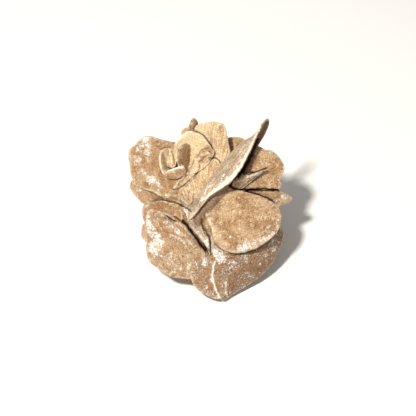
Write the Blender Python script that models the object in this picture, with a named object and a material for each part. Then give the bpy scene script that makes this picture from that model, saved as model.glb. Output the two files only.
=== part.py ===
"""A gypsum sand rose, grown as one piece and cut flat where it rests.

Its blades are lens-shaped gypsum crystals that cross near a common middle. They are
laid out in the rose's face frame, in millimetres: across is to the right, up is up the
open face of the rose, and out comes straight out of that face. The finished rose is
tipped back by FACE_TIP, so that its face looks forward and up, and rests on z = 0 with
the origin in the middle of its base scar.
"""

import math
from dataclasses import dataclass

import bmesh
import bpy
import numpy as np
from mathutils import Matrix, Vector

MM = 0.001

FACE_TIP = 40.0  # degrees that the open face is tipped back from lying flat
REST_DROP = 31.0  # mm from the middle of the face frame down to the resting plane
REST_BACK = 6.0  # mm that the middle of the base scar lies behind that point
EDGE = 1.0  # mm, thickness of a blade at its rim
RIM_STEP = 4.2  # mm between the points along a rim
BACK_RIM_STEP = 7.0  # mm, the same for the plainer blades behind the face
LEAST_RIM_POINTS = 10
BACK_OUTLINE = (  # a rounded blade's rim, as shares of its half length and half width
    (1.0, 0.1), (0.72, 0.72), (0.1, 1.0), (-0.6, 0.8),
    (-1.0, 0.0), (-0.6, -0.85), (0.1, -0.95), (0.78, -0.6),
)
RINGS = (0.62, 1.0)  # shares of the way from a blade's middle to its rim
HEART = (-1.0, -2.0, -12.0)  # where the blades cross
HEART_RADII = (21.0, 19.0, 14.5)  # mm, the packed middle between the blades
FOOT = (-1.0, -10.0, -22.0)  # below the heart, where the rose broke from its bed
FOOT_RADII = (20.0, 16.0, 15.0)  # mm


@dataclass
class Blade:
    """One lens-shaped blade: its middle, the way it lies and its rim in its own plane.

    step is the spacing of the points along its rim, in mm.
    """

    name: str
    middle: Vector
    along: Vector
    across: Vector
    rim: list
    thick: float = 3.6
    dish: float = 0.0
    step: float = RIM_STEP

    @property
    def facing(self):
        """The direction that the blade's front looks in."""
        return self.along.cross(self.across)


def lying(turn, lean, spin=0.0):
    """The two axes of a plane that faces turn degrees to the right and lean up."""
    t, l, s = (math.radians(angle) for angle in (turn, lean, spin))
    right = Vector((math.cos(t), 0.0, -math.sin(t)))
    upward = Vector((-math.sin(l) * math.sin(t), math.cos(l), -math.sin(l) * math.cos(t)))
    along = right * math.cos(s) + upward * math.sin(s)
    across = upward * math.cos(s) - right * math.sin(s)
    return along, across


def open_blade(name, out, turn, lean, outline, thick=3.6, dish=0.0):
    """A blade that shows its face: its outline is (across, up), as seen from the front.

    out is how far its middle stands out of the face frame's plane.
    """
    along, across = lying(turn, lean)
    hub_x = sum(x for x, _ in outline) / len(outline)
    hub_y = sum(y for _, y in outline) / len(outline)
    rim = []
    for x, y in outline:
        rise = (y - hub_y) / across.y
        rim.append(((x - hub_x - rise * across.x) / along.x, rise))
    return Blade(name, Vector((hub_x, hub_y, out)), along, across, rim, thick, dish)


def standing_blade(name, middle, turn, lean, spin, rim, thick=3.0, dish=0.0):
    """A blade seen nearly on edge: its rim is (along, across) in its own plane."""
    along, across = lying(turn, lean, spin)
    return Blade(name, Vector(middle), along, across, list(rim), thick, dish)


def back_blade(name, clock, back, roll, flare, reach, length, width, thick=4.0):
    """A blade behind the face, which sets out from the heart and may lean over.

    clock is its outward direction round the face, from the right by way of up, and back
    is the angle that it falls behind the face plane. roll turns the blade about that
    direction, flare leans it over like a petal, and reach is how far its middle line
    would take its tip from the heart.
    """
    c, b, r, f = (math.radians(angle) for angle in (clock, back, roll, flare))
    outward = Vector((math.cos(c) * math.cos(b), math.sin(c) * math.cos(b), -math.sin(b)))
    level = Vector((-math.sin(c), math.cos(c), 0.0))
    across = Matrix.Rotation(r, 3, outward) @ level
    middle = Vector(HEART) + outward * (reach - length / 2)
    along = Matrix.Rotation(f, 3, across) @ outward
    rim = [(x * length / 2, y * width / 2) for x, y in BACK_OUTLINE]
    return Blade(name, middle, along, across, rim, thick, step=BACK_RIM_STEP)


UPPER_LEFT = [
    open_blade(
        "big_left", -0.5, -4, 8,
        [(-29, 33.5), (-34, 29.5), (-37, 26.5), (-36.5, 20), (-35.5, 14.5), (-32.5, 10.5),
         (-26, 7.8), (-21.5, 5.2), (-18.5, 2), (-12, 0), (-8, 1.5), (-4, 5), (-2, 12),
         (-3, 22), (-9, 28.5), (-16, 30.5), (-22.5, 32)],
        thick=4.0, dish=-0.8,
    ),
    open_blade(
        "under_left", -4.5, -14, 0,
        [(-34.5, 14), (-36.5, 11), (-35.5, 8), (-31.5, 3.5), (-28, 1.5), (-20, 0), (-10, 4),
         (-12, 14), (-26, 18)],
        thick=4.0,
    ),
]
UPPER = [
    open_blade(
        "top_fan", 1.2, -8, 8,
        [(-7.5, 35.5), (-5.5, 38.5), (-2, 39.5), (2.5, 39.5), (6.5, 38), (8, 33),
         (8.5, 29), (9.5, 24), (9, 16), (4, 9), (-3, 8), (-8, 16), (-9, 27)],
        thick=4.0,
    ),
    open_blade(
        "middle_fan", 4.2, -4, 4,
        [(-2.5, 22), (-0.5, 23.2), (2.6, 22.8), (5, 19.5), (4, 13), (-0.5, 5), (-6, 0.5),
         (-11, 2.5), (-14.5, 7.5), (-11, 11.5), (-8, 15), (-5.5, 19)],
        thick=3.0, dish=-0.6,
    ),
    open_blade(
        "back_fan", -5.0, 5, 12,
        [(6, 31.5), (8.5, 32.8), (12, 33), (15.5, 32), (20, 27), (20, 16), (12, 2),
         (3, 2), (0, 12), (3, 24)],
        thick=3.8,
    ),
    open_blade(
        "right_fan", 0.2, 5, 0,
        [(19, 29), (22, 28.5), (25, 27), (28, 26.5), (32, 22.5), (33.5, 18.5), (32, 14),
         (31.8, 9.5), (25, 8.8), (17, 8.8), (8, 6), (4, 14), (12, 27)],
        thick=4.0,
    ),
    open_blade(
        "top_tooth", -3.5, 30, 6,
        [(-7.8, 41.4), (-5.6, 39.2), (-6.5, 34), (-7, 28), (-9.5, 28), (-9.6, 35),
         (-9.3, 38.6)],
        thick=2.6,
    ),
    open_blade(
        "top_chip", 0.6, -14, 14,
        [(-13, 34.8), (-11.6, 36.6), (-9.2, 37), (-7, 34.5), (-7.5, 27), (-12.5, 27),
         (-13, 32)],
        thick=2.6,
    ),
]
ROSETTE = [
    open_blade(
        "rosette_shell", 2.6, -5, 6,
        [(-15.4, 30.2), (-12.6, 33.2), (-10.4, 34.7), (-8, 35.1), (-4.6, 34), (-1.8, 31.6),
         (0.2, 28.8), (1.2, 26), (-0.6, 20), (-8, 15.5), (-14, 17), (-16.6, 24)],
        thick=2.8, dish=1.0,
    ),
    standing_blade(
        "rosette_fin", (-11.5, 23, 5.4), 38, 0, 74,
        [(7.2, 0.5), (4, 4), (-1, 5), (-6, 3.5), (-8, 0), (-5, -4.5), (2, -5.5), (6, -3)],
        thick=1.8,
    ),
    standing_blade(
        "rosette_cup", (-20.5, 21, 3.8), 50, 4, 100,
        [(6, 0), (4, 3.5), (-1, 4.5), (-5, 3), (-6.5, -1), (-4, -5), (3, -5)],
        thick=1.6, dish=1.0,
    ),
    standing_blade(
        "rosette_strip", (-17.2, 24.4, 4.3), -30, 0, 78,
        [(3.6, 0), (2, 1.6), (-2, 2), (-4, 0.5), (-3, -3), (2.5, -3)],
        thick=1.4,
    ),
    standing_blade(
        "rosette_lip", (-15.6, 16.4, 4.2), -5, -42, 22,
        [(4.6, 1.4), (0, 2), (-4.8, 1.3), (-5.4, -1), (-3, -4.5), (3, -4.5), (5, -1)],
        thick=1.6,
    ),
    open_blade(
        "rosette_ear", 4.6, -10, 6,
        [(-6.8, 23.5), (-5, 26.6), (-3, 28.6), (-0.6, 29.2), (1.2, 27.6), (2, 25.4),
         (0.4, 22.4), (-2, 20.5), (-5.2, 19.8)],
        thick=2.0,
    ),
    open_blade(
        "step_blade", 3.4, -12, 8,
        [(-5.5, 23), (-4, 22), (-5, 18), (-8, 14), (-14, 9.5), (-16.5, 10), (-12, 16)],
        thick=2.2,
    ),
]
BIG_FIN = [
    standing_blade(
        "big_fin", (8.25, 17.75, 8.6), -41, 26, 62,
        [(28.4, 0.1), (21, -0.2), (17.5, -1.7), (13, -3.2), (9, -4.3), (5, -5.7),
         (0, -6.2), (-4, -5.7), (-10.5, -2.6), (-15, -0.3), (-26.5, 0.4), (-28, 2.5),
         (-21, 8), (-14, 9.5), (-4, 7.8), (7, 5.6), (13.5, 4), (18, 2), (22, 1.2),
         (26, 1.2)],
        thick=3.0, dish=-0.5,
    ),
    open_blade(
        "fin_flank", 6.6, 39, -25,
        [(25.6, 40.4), (26.3, 38), (24.6, 34), (22.4, 30), (18.5, 24), (13, 17), (10, 15),
         (13, 22), (18, 30), (22, 36.5)],
        thick=2.4,
    ),
]
RIGHT = [
    open_blade(
        "right_round", 3.6, -1, 4,
        [(8.5, 10.6), (13, 8.7), (18.5, 7.3), (24.5, 5.2), (30.5, 1.5), (32, -3),
         (31, -8.5), (28, -12.5), (21.5, -17), (13.5, -19.5), (7, -18.6), (2, -14.6),
         (0.6, -9), (-0.6, -4), (0.6, 1), (4, 6)],
        thick=4.4, dish=-0.6,
    ),
    open_blade(
        "tongue", 4.0, 5, -25,
        [(25.2, 18.4), (19, 16.6), (14, 16.2), (10, 13), (9, 10.8), (12.6, 8.8),
         (17.2, 11.6), (22.3, 15.8)],
        thick=2.0,
    ),
    open_blade(
        "right_strip", -2.0, 4, 6,
        [(10, 12), (18.5, 13), (26, 12.5), (30.5, 9.8), (32.2, 5), (31, 0.5), (22, -4),
         (10, 0)],
        thick=3.2,
    ),
    open_blade(
        "right_nub", -4.4, 20, 6,
        [(28, 7.6), (33, 8), (35.3, 6.8), (37.7, 5), (35.7, 3.1), (32.8, 2), (27, 2.5)],
        thick=3.4,
    ),
    open_blade(
        "inner_strip", 0.3, -20, 0,
        [(-4, 3.5), (1, 4), (5, 1), (5, -8), (5, -14), (1, -19), (-1.5, -16), (-4, -9),
         (-6, -1)],
        thick=2.4,
    ),
    open_blade(
        "inner_ledge", 2.6, -8, -4,
        [(-12.5, 0), (-9, 3), (-5, 1.5), (-3.8, -4.4), (-3.2, -8.5), (-0.5, -12.6),
         (-0.1, -16), (0.1, -21), (-1, -18.6), (-2.4, -15.6), (-4.5, -13.4), (-7.6, -9.6),
         (-10.4, -6)],
        thick=2.6,
    ),
    open_blade(
        "fin_root", 3.0, 28, -18,
        [(-9, -4.5), (-6, 0), (-1, 6), (5, 11.5), (10, 15), (12, 12.5), (8.6, 7), (5, 2),
         (1, -3), (-3, -7), (-6.5, -8)],
        thick=2.6,
    ),
]
LOWER_LEFT = [
    open_blade(
        "left_ledge", 0.8, -8, -10,
        [(-30.5, 0.5), (-29, 2.5), (-24.5, 4), (-20.5, 4), (-15, 2.5), (-10.5, 0.5),
         (-8, -2.5), (-9, -9), (-16, -13), (-25, -10), (-30, -5)],
        thick=3.4,
    ),
    open_blade(
        "ledge_lobe", 2.6, -10, 0,
        [(-16.5, -2.5), (-16, -0.5), (-14, 0), (-12.5, -1), (-12.5, -5), (-14, -8),
         (-17, -6)],
        thick=2.0,
    ),
    open_blade(
        "big_lower_left", 2.5, -10, -12,
        [(-27, 0), (-22, -1.5), (-17.5, -4.8), (-13, -6.3), (-10.8, -7.4), (-8, -11.2),
         (-5, -15.8), (-2.2, -19.8), (-3.5, -24), (-5, -28), (-8.5, -31.5), (-12.5, -31.5),
         (-18.5, -30.5), (-23, -27.5), (-27.5, -24), (-29, -19), (-28.5, -12), (-29, -4)],
        thick=4.6, dish=-1.4,
    ),
    open_blade(
        "left_sliver", -6.0, -30, -5,
        [(-29.5, -6), (-30.9, -8.5), (-31.1, -12), (-29.8, -14), (-24, -17.5), (-14, -12),
         (-20, -3)],
        thick=3.0,
    ),
]
BOTTOM = [
    open_blade(
        "bottom_lobe", 0.7, 12, -6,
        [(-9, -23.6), (-10, -26.5), (-9, -30), (-7.5, -34), (-5, -36.5), (-1, -39),
         (3.5, -40.6), (7, -38), (6.5, -30), (6, -23), (2, -18.5), (-4, -20)],
        thick=3.6,
    ),
    open_blade(
        "frosted_step", 0.8, 6, -6,
        [(0.4, -12), (0.1, -16), (0.4, -20), (1, -24), (3, -27.5), (7.5, -26), (10, -21),
         (8.5, -16), (4, -12)],
        thick=3.0,
    ),
    open_blade(
        "big_bottom_right", -2.7, 20, -13,
        [(30, -6.5), (33, -9), (34, -13.5), (31, -20.5), (28, -26), (23, -31), (17, -35),
         (10, -39.2), (6.4, -41.6), (3.6, -39), (2, -33.5), (1.2, -30.5), (1.6, -26.5),
         (3, -22), (6, -17), (13, -13), (22, -8)],
        thick=5.0, dish=-1.0,
    ),
]
BEHIND = [
    back_blade("back_high", 92, 28, 25, 0, 34, 36, 40),
    back_blade("back_high_left", 128, 42, -38, 0, 35, 36, 34),
    back_blade("back_high_right", 52, 44, 55, 0, 34, 36, 36),
    back_blade("back_left", 165, 34, 60, 0, 31, 33, 32),
    back_blade("back_right", 12, 32, -50, 0, 34, 34, 36),
    back_blade("back_low", 92, 68, -15, 0, 33, 34, 40),
    back_blade("back_low_left", 172, 58, 25, 0, 32, 34, 36),
    back_blade("back_low_right", 8, 62, -30, 0, 32, 34, 38),
    back_blade("side_left", 205, 22, -20, 0, 31, 32, 30),
    back_blade("side_right", -28, 25, 35, 0, 34, 34, 32),
    back_blade("back_cross_left", 142, 66, 70, 0, 31, 32, 30),
    back_blade("back_cross_right", 55, 70, 85, 0, 31, 32, 32),
    back_blade("crown_left", 120, 9, 22, 0, 32, 30, 28),
    back_blade("crown_middle", 92, 12, -10, 0, 33, 30, 32),
    back_blade("crown_right", 62, 10, -26, 0, 32, 30, 28),
    back_blade("shelf_left", 172, 8, 18, 0, 29, 28, 28),
    back_blade("shelf_right", 14, 10, -16, 0, 31, 28, 28),
    back_blade("bottom_root", -62, 0, 80, 0, 31, 32, 24),
    back_blade("petal_high", 95, 36, 6, 52, 30, 28, 32),
    back_blade("petal_high_left", 136, 50, -8, -48, 30, 28, 28),
    back_blade("petal_high_right", 40, 46, 10, 50, 30, 28, 28),
    back_blade("petal_left", 180, 46, 12, 44, 29, 28, 28),
    back_blade("petal_right", -4, 46, -12, -46, 30, 28, 30),
    back_blade("petal_low", 84, 88, 4, 42, 30, 28, 34),
]
BLADES = [
    *UPPER_LEFT, *UPPER, *ROSETTE, *BIG_FIN, *RIGHT, *LOWER_LEFT, *BOTTOM, *BEHIND,
]


def smooth_ring(points, step, least):
    """Points evenly spaced by arc length along a smooth closed curve through points."""
    corners = np.array(points, float)
    ends = np.roll(corners, -1, 0)
    before, after = np.roll(corners, 1, 0), np.roll(corners, -2, 0)
    fine = []
    for t in np.linspace(0.0, 1.0, 12, endpoint=False):
        fine.append(
            0.5 * (
                2 * corners
                + (ends - before) * t
                + (2 * before - 5 * corners + 4 * ends - after) * t**2
                + (3 * corners - before - 3 * ends + after) * t**3
            )
        )
    curve = np.stack(fine, 1).reshape(-1, 2)
    closed = np.vstack([curve, curve[:1]])
    lengths = np.r_[0.0, np.cumsum(np.linalg.norm(np.diff(closed, axis=0), axis=1))]
    count = max(least, round(lengths[-1] / step))
    places = np.linspace(0.0, lengths[-1], count, endpoint=False)
    return np.stack([np.interp(places, lengths, closed[:, k]) for k in (0, 1)], 1)


def blade_object(blade):
    """A closed lens, drawn as a helper, for one blade."""
    ring = smooth_ring(blade.rim, blade.step, LEAST_RIM_POINTS)
    if np.sum(ring[:, 0] * np.roll(ring[:, 1], -1) - ring[:, 1] * np.roll(ring[:, 0], -1)) < 0:
        ring = ring[::-1]
    hub = ring.mean(0)
    bm = bmesh.new()

    def vertex(point, share, side):
        """One point of the lens, side is 1 on its front and -1 on its back."""
        half = (EDGE + (blade.thick - EDGE) * (1 - share**2)) / 2
        lift = blade.dish * share**2 + side * half
        place = blade.middle + blade.along * point[0] + blade.across * point[1]
        return bm.verts.new(place + blade.facing * lift)

    sides = {}
    for side in (1, -1):
        middle = vertex(hub, 0.0, side)
        rings = [[vertex(hub + share * (p - hub), share, side) for p in ring] for share in RINGS]
        sides[side] = rings[-1]
        for k in range(len(ring)):
            after = (k + 1) % len(ring)
            faces = [(middle, rings[0][k], rings[0][after])]
            for inner, outer in zip(rings, rings[1:]):
                faces.append((inner[k], outer[k], outer[after]))
                faces.append((inner[k], outer[after], inner[after]))
            for face in faces:
                bm.faces.new(face if side == 1 else face[::-1])
    for k in range(len(ring)):
        after = (k + 1) % len(ring)
        bm.faces.new((sides[1][k], sides[-1][k], sides[-1][after]))
        bm.faces.new((sides[1][k], sides[-1][after], sides[1][after]))
    return helper(blade.name, bm)


def helper(name, bm):
    """A helper object in millimetres that the rose is joined or cut with."""
    mesh = bpy.data.meshes.new(name)
    bm.to_mesh(mesh)
    bm.free()
    obj = bpy.data.objects.new(name, mesh)
    bpy.context.scene.collection.objects.link(obj)
    obj.hide_render = True
    obj.display_type = "WIRE"
    return obj


def packed_object(name, centre, radii):
    """A slightly lumpy ball of packed sand and small crystals."""
    bm = bmesh.new()
    bmesh.ops.create_icosphere(bm, subdivisions=2, radius=1.0)
    for vert in bm.verts:
        lumps = 1 + 0.06 * math.sin(5 * vert.co.x + 1) * math.cos(4 * vert.co.y)
        vert.co = Vector([c * r * lumps for c, r in zip(vert.co, radii)]) + Vector(centre)
    return helper(name, bm)


def face_to_world():
    """The placing of the face frame, in millimetres, in the part's own frame."""
    tip = Matrix.Rotation(math.radians(FACE_TIP), 4, "X")
    lift = Matrix.Translation(Vector((0.0, -REST_BACK, REST_DROP)) * MM)
    return lift @ tip @ Matrix.Scale(MM, 4)


def joined_mesh(helpers, ground):
    """The heart and every blade as one body, cut flat on the ground."""
    rose = helpers[0]
    for other in helpers[1:]:
        join = rose.modifiers.new(other.name, "BOOLEAN")
        join.operation = "UNION"
        join.solver = "EXACT"
        join.object = other
    cut = rose.modifiers.new("ground", "BOOLEAN")
    cut.operation = "DIFFERENCE"
    cut.solver = "EXACT"
    cut.object = ground
    bpy.context.view_layer.update()
    depsgraph = bpy.context.evaluated_depsgraph_get()
    return bpy.data.meshes.new_from_object(rose.evaluated_get(depsgraph))


def keep_outer_skin(mesh):
    """Removes the skins of closed pockets, so that the rose is solid inside."""
    bm = bmesh.new()
    bm.from_mesh(mesh)
    bmesh.ops.triangulate(bm, faces=bm.faces)
    skins, left = [], set(bm.faces)
    while left:
        todo = [left.pop()]
        skin = list(todo)
        while todo:
            face = todo.pop()
            for edge in face.edges:
                for other in edge.link_faces:
                    if other in left:
                        left.discard(other)
                        todo.append(other)
                        skin.append(other)
        skins.append(skin)
    skins.sort(key=len)
    inner = [face for skin in skins[:-1] for face in skin]
    bmesh.ops.delete(bm, geom=inner, context="FACES")
    bm.to_mesh(mesh)
    bm.free()


def main():
    """Builds the rose as one object."""
    for obj in list(bpy.data.objects):
        bpy.data.objects.remove(obj, do_unlink=True)

    placing = face_to_world()
    helpers = [
        packed_object("heart", HEART, HEART_RADII),
        packed_object("foot", FOOT, FOOT_RADII),
        *[blade_object(blade) for blade in BLADES],
    ]
    for obj in helpers:
        obj.data.transform(placing)
    bm = bmesh.new()
    bmesh.ops.create_cube(bm, size=200 * MM, matrix=Matrix.Translation((0, 0, -100 * MM)))
    ground = helper("ground", bm)

    mesh = joined_mesh(helpers, ground)
    for obj in [*helpers, ground]:
        bpy.data.objects.remove(obj, do_unlink=True)
    keep_outer_skin(mesh)
    mesh.name = "sand_rose"
    rose = bpy.data.objects.new("sand_rose", mesh)
    bpy.context.scene.collection.objects.link(rose)

    gypsum = bpy.data.materials.new("sandy_gypsum")
    gypsum.use_nodes = True
    shader = gypsum.node_tree.nodes["Principled BSDF"]
    shader.inputs["Base Color"].default_value = (0.56, 0.38, 0.21, 1.0)
    shader.inputs["Roughness"].default_value = 0.85
    shader.inputs["Metallic"].default_value = 0.0
    mesh.materials.clear()
    mesh.materials.append(gypsum)
    mesh.shade_smooth()
    mesh.set_sharp_from_angle(angle=math.radians(35))


main()
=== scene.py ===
"""A gypsum sand rose on a pale studio floor.

The rose is a cluster of lens-shaped gypsum blades that grew through loose desert sand
and crossed near a common middle. Each blade is shaped here from its own outline, with a
worn rim, growth ledges and grain, and the blades are then joined into one body that
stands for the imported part. The layout is in the rose's face frame, in millimetres:
across is to the right, up is up the open face, and out is straight out of that face.
"""

import logging
import math
from dataclasses import dataclass
from enum import Enum, IntEnum
from itertools import product
from typing import Any, Iterable, Sequence

import bmesh
import bpy
import numpy as np
from mathutils import Matrix, Vector, kdtree
from mathutils.geometry import delaunay_2d_cdt


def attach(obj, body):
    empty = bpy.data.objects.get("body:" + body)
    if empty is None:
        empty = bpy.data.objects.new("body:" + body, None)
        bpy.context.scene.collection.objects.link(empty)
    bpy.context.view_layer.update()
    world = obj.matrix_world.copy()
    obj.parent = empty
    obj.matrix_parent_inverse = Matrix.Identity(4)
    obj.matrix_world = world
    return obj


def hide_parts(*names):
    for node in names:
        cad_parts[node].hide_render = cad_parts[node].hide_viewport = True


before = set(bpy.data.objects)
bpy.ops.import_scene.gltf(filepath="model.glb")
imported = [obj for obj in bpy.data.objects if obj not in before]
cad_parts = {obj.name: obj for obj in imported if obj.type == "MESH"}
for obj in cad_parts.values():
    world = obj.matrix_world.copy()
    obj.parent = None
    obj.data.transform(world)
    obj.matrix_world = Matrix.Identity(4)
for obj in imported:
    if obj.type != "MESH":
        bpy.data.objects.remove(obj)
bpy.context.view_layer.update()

log = logging.getLogger("sand_rose")

MM = 0.001
NODE = "sand_rose"
PIECE = "gypsum_rose"
FACE_TIP = 40.0  # degrees that the open face is tipped back from lying flat
REST_DROP = 31.0  # mm from the middle of the face frame down to the resting plane
REST_BACK = 6.0  # mm that the middle of the base scar lies behind that point
HEART = (-1.0, -2.0, -12.0)  # mm, where the blades cross
HEART_RADII = (21.0, 19.0, 14.5)  # mm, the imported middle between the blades
FOOT = (-1.0, -10.0, -22.0)  # mm, below the heart, where the rose broke from its bed
FOOT_RADII = (20.0, 16.0, 15.0)  # mm

CELL_KEYS = np.array([73856093, 19349663, 83492791])  # primes that scatter the noise cells
SEED_KEY = 2654435761
MIXING = ((13, 1274126177), (11, 668265263))  # shift and factor of each round of mixing
KEY_RANGE = 2**31
SEED_SHIFT = 0.37  # cells that one step of the seed moves the noise

# Layers of roughness: size in mm, height in mm and what is added to the seed.
WORN_LAYERS = ((7.5, 0.3, 0), (3.0, 0.15, 50), (1.5, 0.08, 90))
BROKEN_LAYERS = ((8.0, 0.9, 0), (3.2, 0.45, 1), (1.6, 0.2, 2))

UNSEEDED = -1  # the seed of a blade whose group is to pick one
SEED_STEP = 7  # between the blades of a group
HIDDEN_SEED = 200  # from which the blades behind take theirs

HEIGHT, DARK, PALE, WHITE = range(4)  # columns of what the cracks and lips add
RIM, FROST, TONE, GREY, CRACK_SHADE = range(5)  # columns of a shell's look
MARK_WHITE = 1.4  # frost that a fully white trace gives
RIM_PALE = 0.5  # how pale a blade's rim is
RIM_FADE = 0.7  # mm inside the rim over which it loses that

Outline = Sequence[tuple[float, float]]


@dataclass(frozen=True)
class Trace:
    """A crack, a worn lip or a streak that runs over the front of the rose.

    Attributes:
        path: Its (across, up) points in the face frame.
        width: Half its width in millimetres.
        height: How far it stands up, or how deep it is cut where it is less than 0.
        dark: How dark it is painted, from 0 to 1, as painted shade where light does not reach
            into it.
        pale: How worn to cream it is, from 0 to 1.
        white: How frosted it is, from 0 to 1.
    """

    path: Outline
    width: float = 0.45
    height: float = 0.0
    dark: float = 0.0
    pale: float = 0.0
    white: float = 0.0


# Cracks run where blades meet or have parted. Their dark is painted shade, and a few are painted
# shadows of blades over them. Each gives its path, width, height and how dark it is.
CRACKS = (
    Trace([(-21, 23.8), (-20.5, 20.6), (-19.7, 18.4)], 1.0, 0.0, 0.42),
    Trace([(-16.9, 26.2), (-16.4, 23.5), (-15.8, 20.4)], 0.38, -0.35, 0.65),
    Trace([(-27.5, 2.3), (-24, 4.2), (-20, 4.2)], 0.4, -0.4, 0.5),
    Trace([(-20, 4.2), (-15, 2.8), (-10, 0.2), (-8.5, -0.8)], 0.45, -0.5, 0.85),
    Trace([(-12.4, 6), (-9, 3), (-4.6, 2.4)], 2.6, 0.0, 0.24),
    Trace([(-16, -3.1), (-13.5, -4.8), (-12, -5.4)], 0.5, -0.6, 0.75),
    Trace([(-20.5, -3.5), (-18, -4.7), (-15.3, -5.4)], 0.5, -0.6, 0.6),
    Trace([(-12.2, -5.5), (-10.6, -6.9), (-8.6, -9.7), (-6, -13)], 0.6, -0.9, 1.0),
    Trace([(-8.4, -10), (-6, -13.1)], 0.95, -1.2, 0.97),
    Trace([(-6.2, -12.8), (-3.8, -15.9), (-2, -18)], 1.3, -1.6, 0.97),
    Trace([(-12.6, 7.4), (-11.8, 5.6), (-11.6, 4)], 0.3, -0.3, 0.5),
    Trace([(-17.4, 5.2), (-14.4, 4.4), (-12.4, 3)], 0.3, -0.3, 0.5),
    Trace([(-9.4, 8.2), (-9.4, 6), (-9.8, 4.2)], 0.3, -0.3, 0.5),
    Trace([(-7.2, 7), (-7.8, 3.2), (-9.6, 1)], 0.3, -0.3, 0.55),
    Trace([(-19.6, 4.4), (-18.6, 2.8)], 0.3, -0.3, 0.45),
    Trace([(-7.1, 22), (-7.9, 19.4), (-10.5, 16.4), (-13.2, 13.6)], 0.3, -0.35, 0.55),
    Trace([(-8.8, 17.2), (-11, 14.6), (-14.2, 11.2)], 0.3, -0.35, 0.5),
    Trace([(-6, 14.8), (-8.6, 12.8), (-11.6, 10.4)], 0.3, -0.3, 0.45),
    Trace([(-5.2, 24.4), (-4, 26.3), (-2.2, 27.5), (-0.4, 27.3)], 0.32, -0.35, 0.5),
    Trace([(-4.8, 21.4), (-2.8, 23.4), (-0.8, 24.2)], 0.3, -0.35, 0.5),
    Trace([(-3.9, -4.2), (-3.7, -5), (-3.3, -8), (-2.5, -10.5), (-0.3, -12.7), (0, -14),
           (-0.1, -17), (0.3, -20.4)], 0.35, -0.5, 0.8),
    Trace([(-9, 36), (-8.3, 35.4), (-5, 34.5), (-2.9, 33.3), (-1, 30.6), (1.3, 27.3)],
          0.4, -0.4, 0.7),
    Trace([(-8.9, 37.6), (-8.6, 35.8)], 0.5, 0.0, 0.5),
    Trace([(-0.6, 25.9), (0.4, 25.4), (0.4, 23.8), (-0.3, 22.3)], 0.35, -0.3, 0.6),
    Trace([(0, 23.1), (1.8, 23.2), (3.3, 22.5), (5.2, 20.8)], 0.38, -0.4, 0.85),
    Trace([(-4.9, 19.8), (-4.8, 18.5), (-6, 16), (-8, 14), (-9.7, 12.8)], 0.4, -0.4, 0.55),
    Trace([(-8, 12.8), (-9.5, 11.6), (-10.5, 10.2)], 0.35, -0.3, 0.35),
    Trace([(-22.5, 27.2), (-20, 27.9), (-17.5, 27.8), (-15.8, 27.2)], 0.35, -0.3, 0.5),
    Trace([(-19.6, 31.1), (-17.5, 30.7), (-15.4, 30.2)], 0.3, 0.0, 0.5),
    # painted shadow: the black band where the fin overhangs the right fan
    Trace([(21.3, 31), (19.6, 26.8), (17.4, 22.3), (15.6, 19.2), (13.8, 16.2), (12.9, 14.8)],
          1.3, -0.3, 1.0),
    # painted shade on the fin's dark flank near its tip
    Trace([(25.2, 38.6), (23.6, 35.5), (21.9, 32.2), (21.4, 29.8)], 1.3, 0.0, 0.65),
    Trace([(12.8, 16), (10.6, 13.2), (9.2, 11), (9.6, 10.2)], 0.6, -0.5, 1.0),
    Trace([(0.2, 4.4), (-2.5, 2.1), (-5, -1.5), (-7, -3.8)], 0.35, -0.4, 0.6),
    Trace([(9.2, 10.4), (11, 9.6), (13, 8.7), (18, 9.1), (25, 9.3), (31.4, 8.7)],
          0.65, -0.6, 1.0),
    Trace([(15, 9), (17.5, 7.9), (22, 6.7), (26, 5.1), (29.2, 3.4)], 0.5, -0.5, 1.0),
    Trace([(14.6, 15.7), (18, 16), (21, 17), (25.2, 18.3)], 0.5, -0.4, 0.95),
    Trace([(13.4, 9.4), (17.4, 12.2), (21, 14.8)], 0.4, -0.3, 0.75),
    # painted shadow: the wedge that the fin casts on the round blade's left
    Trace([(3.4, 3.4), (3.2, 0.6)], 2.0, 0.0, 0.3),
    Trace([(3, 0), (2.2, -5.6)], 1.2, 0.0, 0.3),
    Trace([(-2.5, -3), (-1.8, -0.5), (-1.4, 1)], 0.3, -0.3, 0.35),
    Trace([(2.4, -15.4), (4, -16.6), (6.2, -18.4)], 0.6, -0.5, 0.35),
    # painted shadow: the thin dark line under the round blade's lower rim
    Trace([(7, -19.8), (11, -20.4), (16, -19.8), (21.5, -17.8), (26, -14.6), (29.6, -11)],
          0.4, 0.0, 0.5),
    Trace([(-23, 5.6), (-19.5, 4.8)], 0.35, -0.3, 0.35),
)
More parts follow.
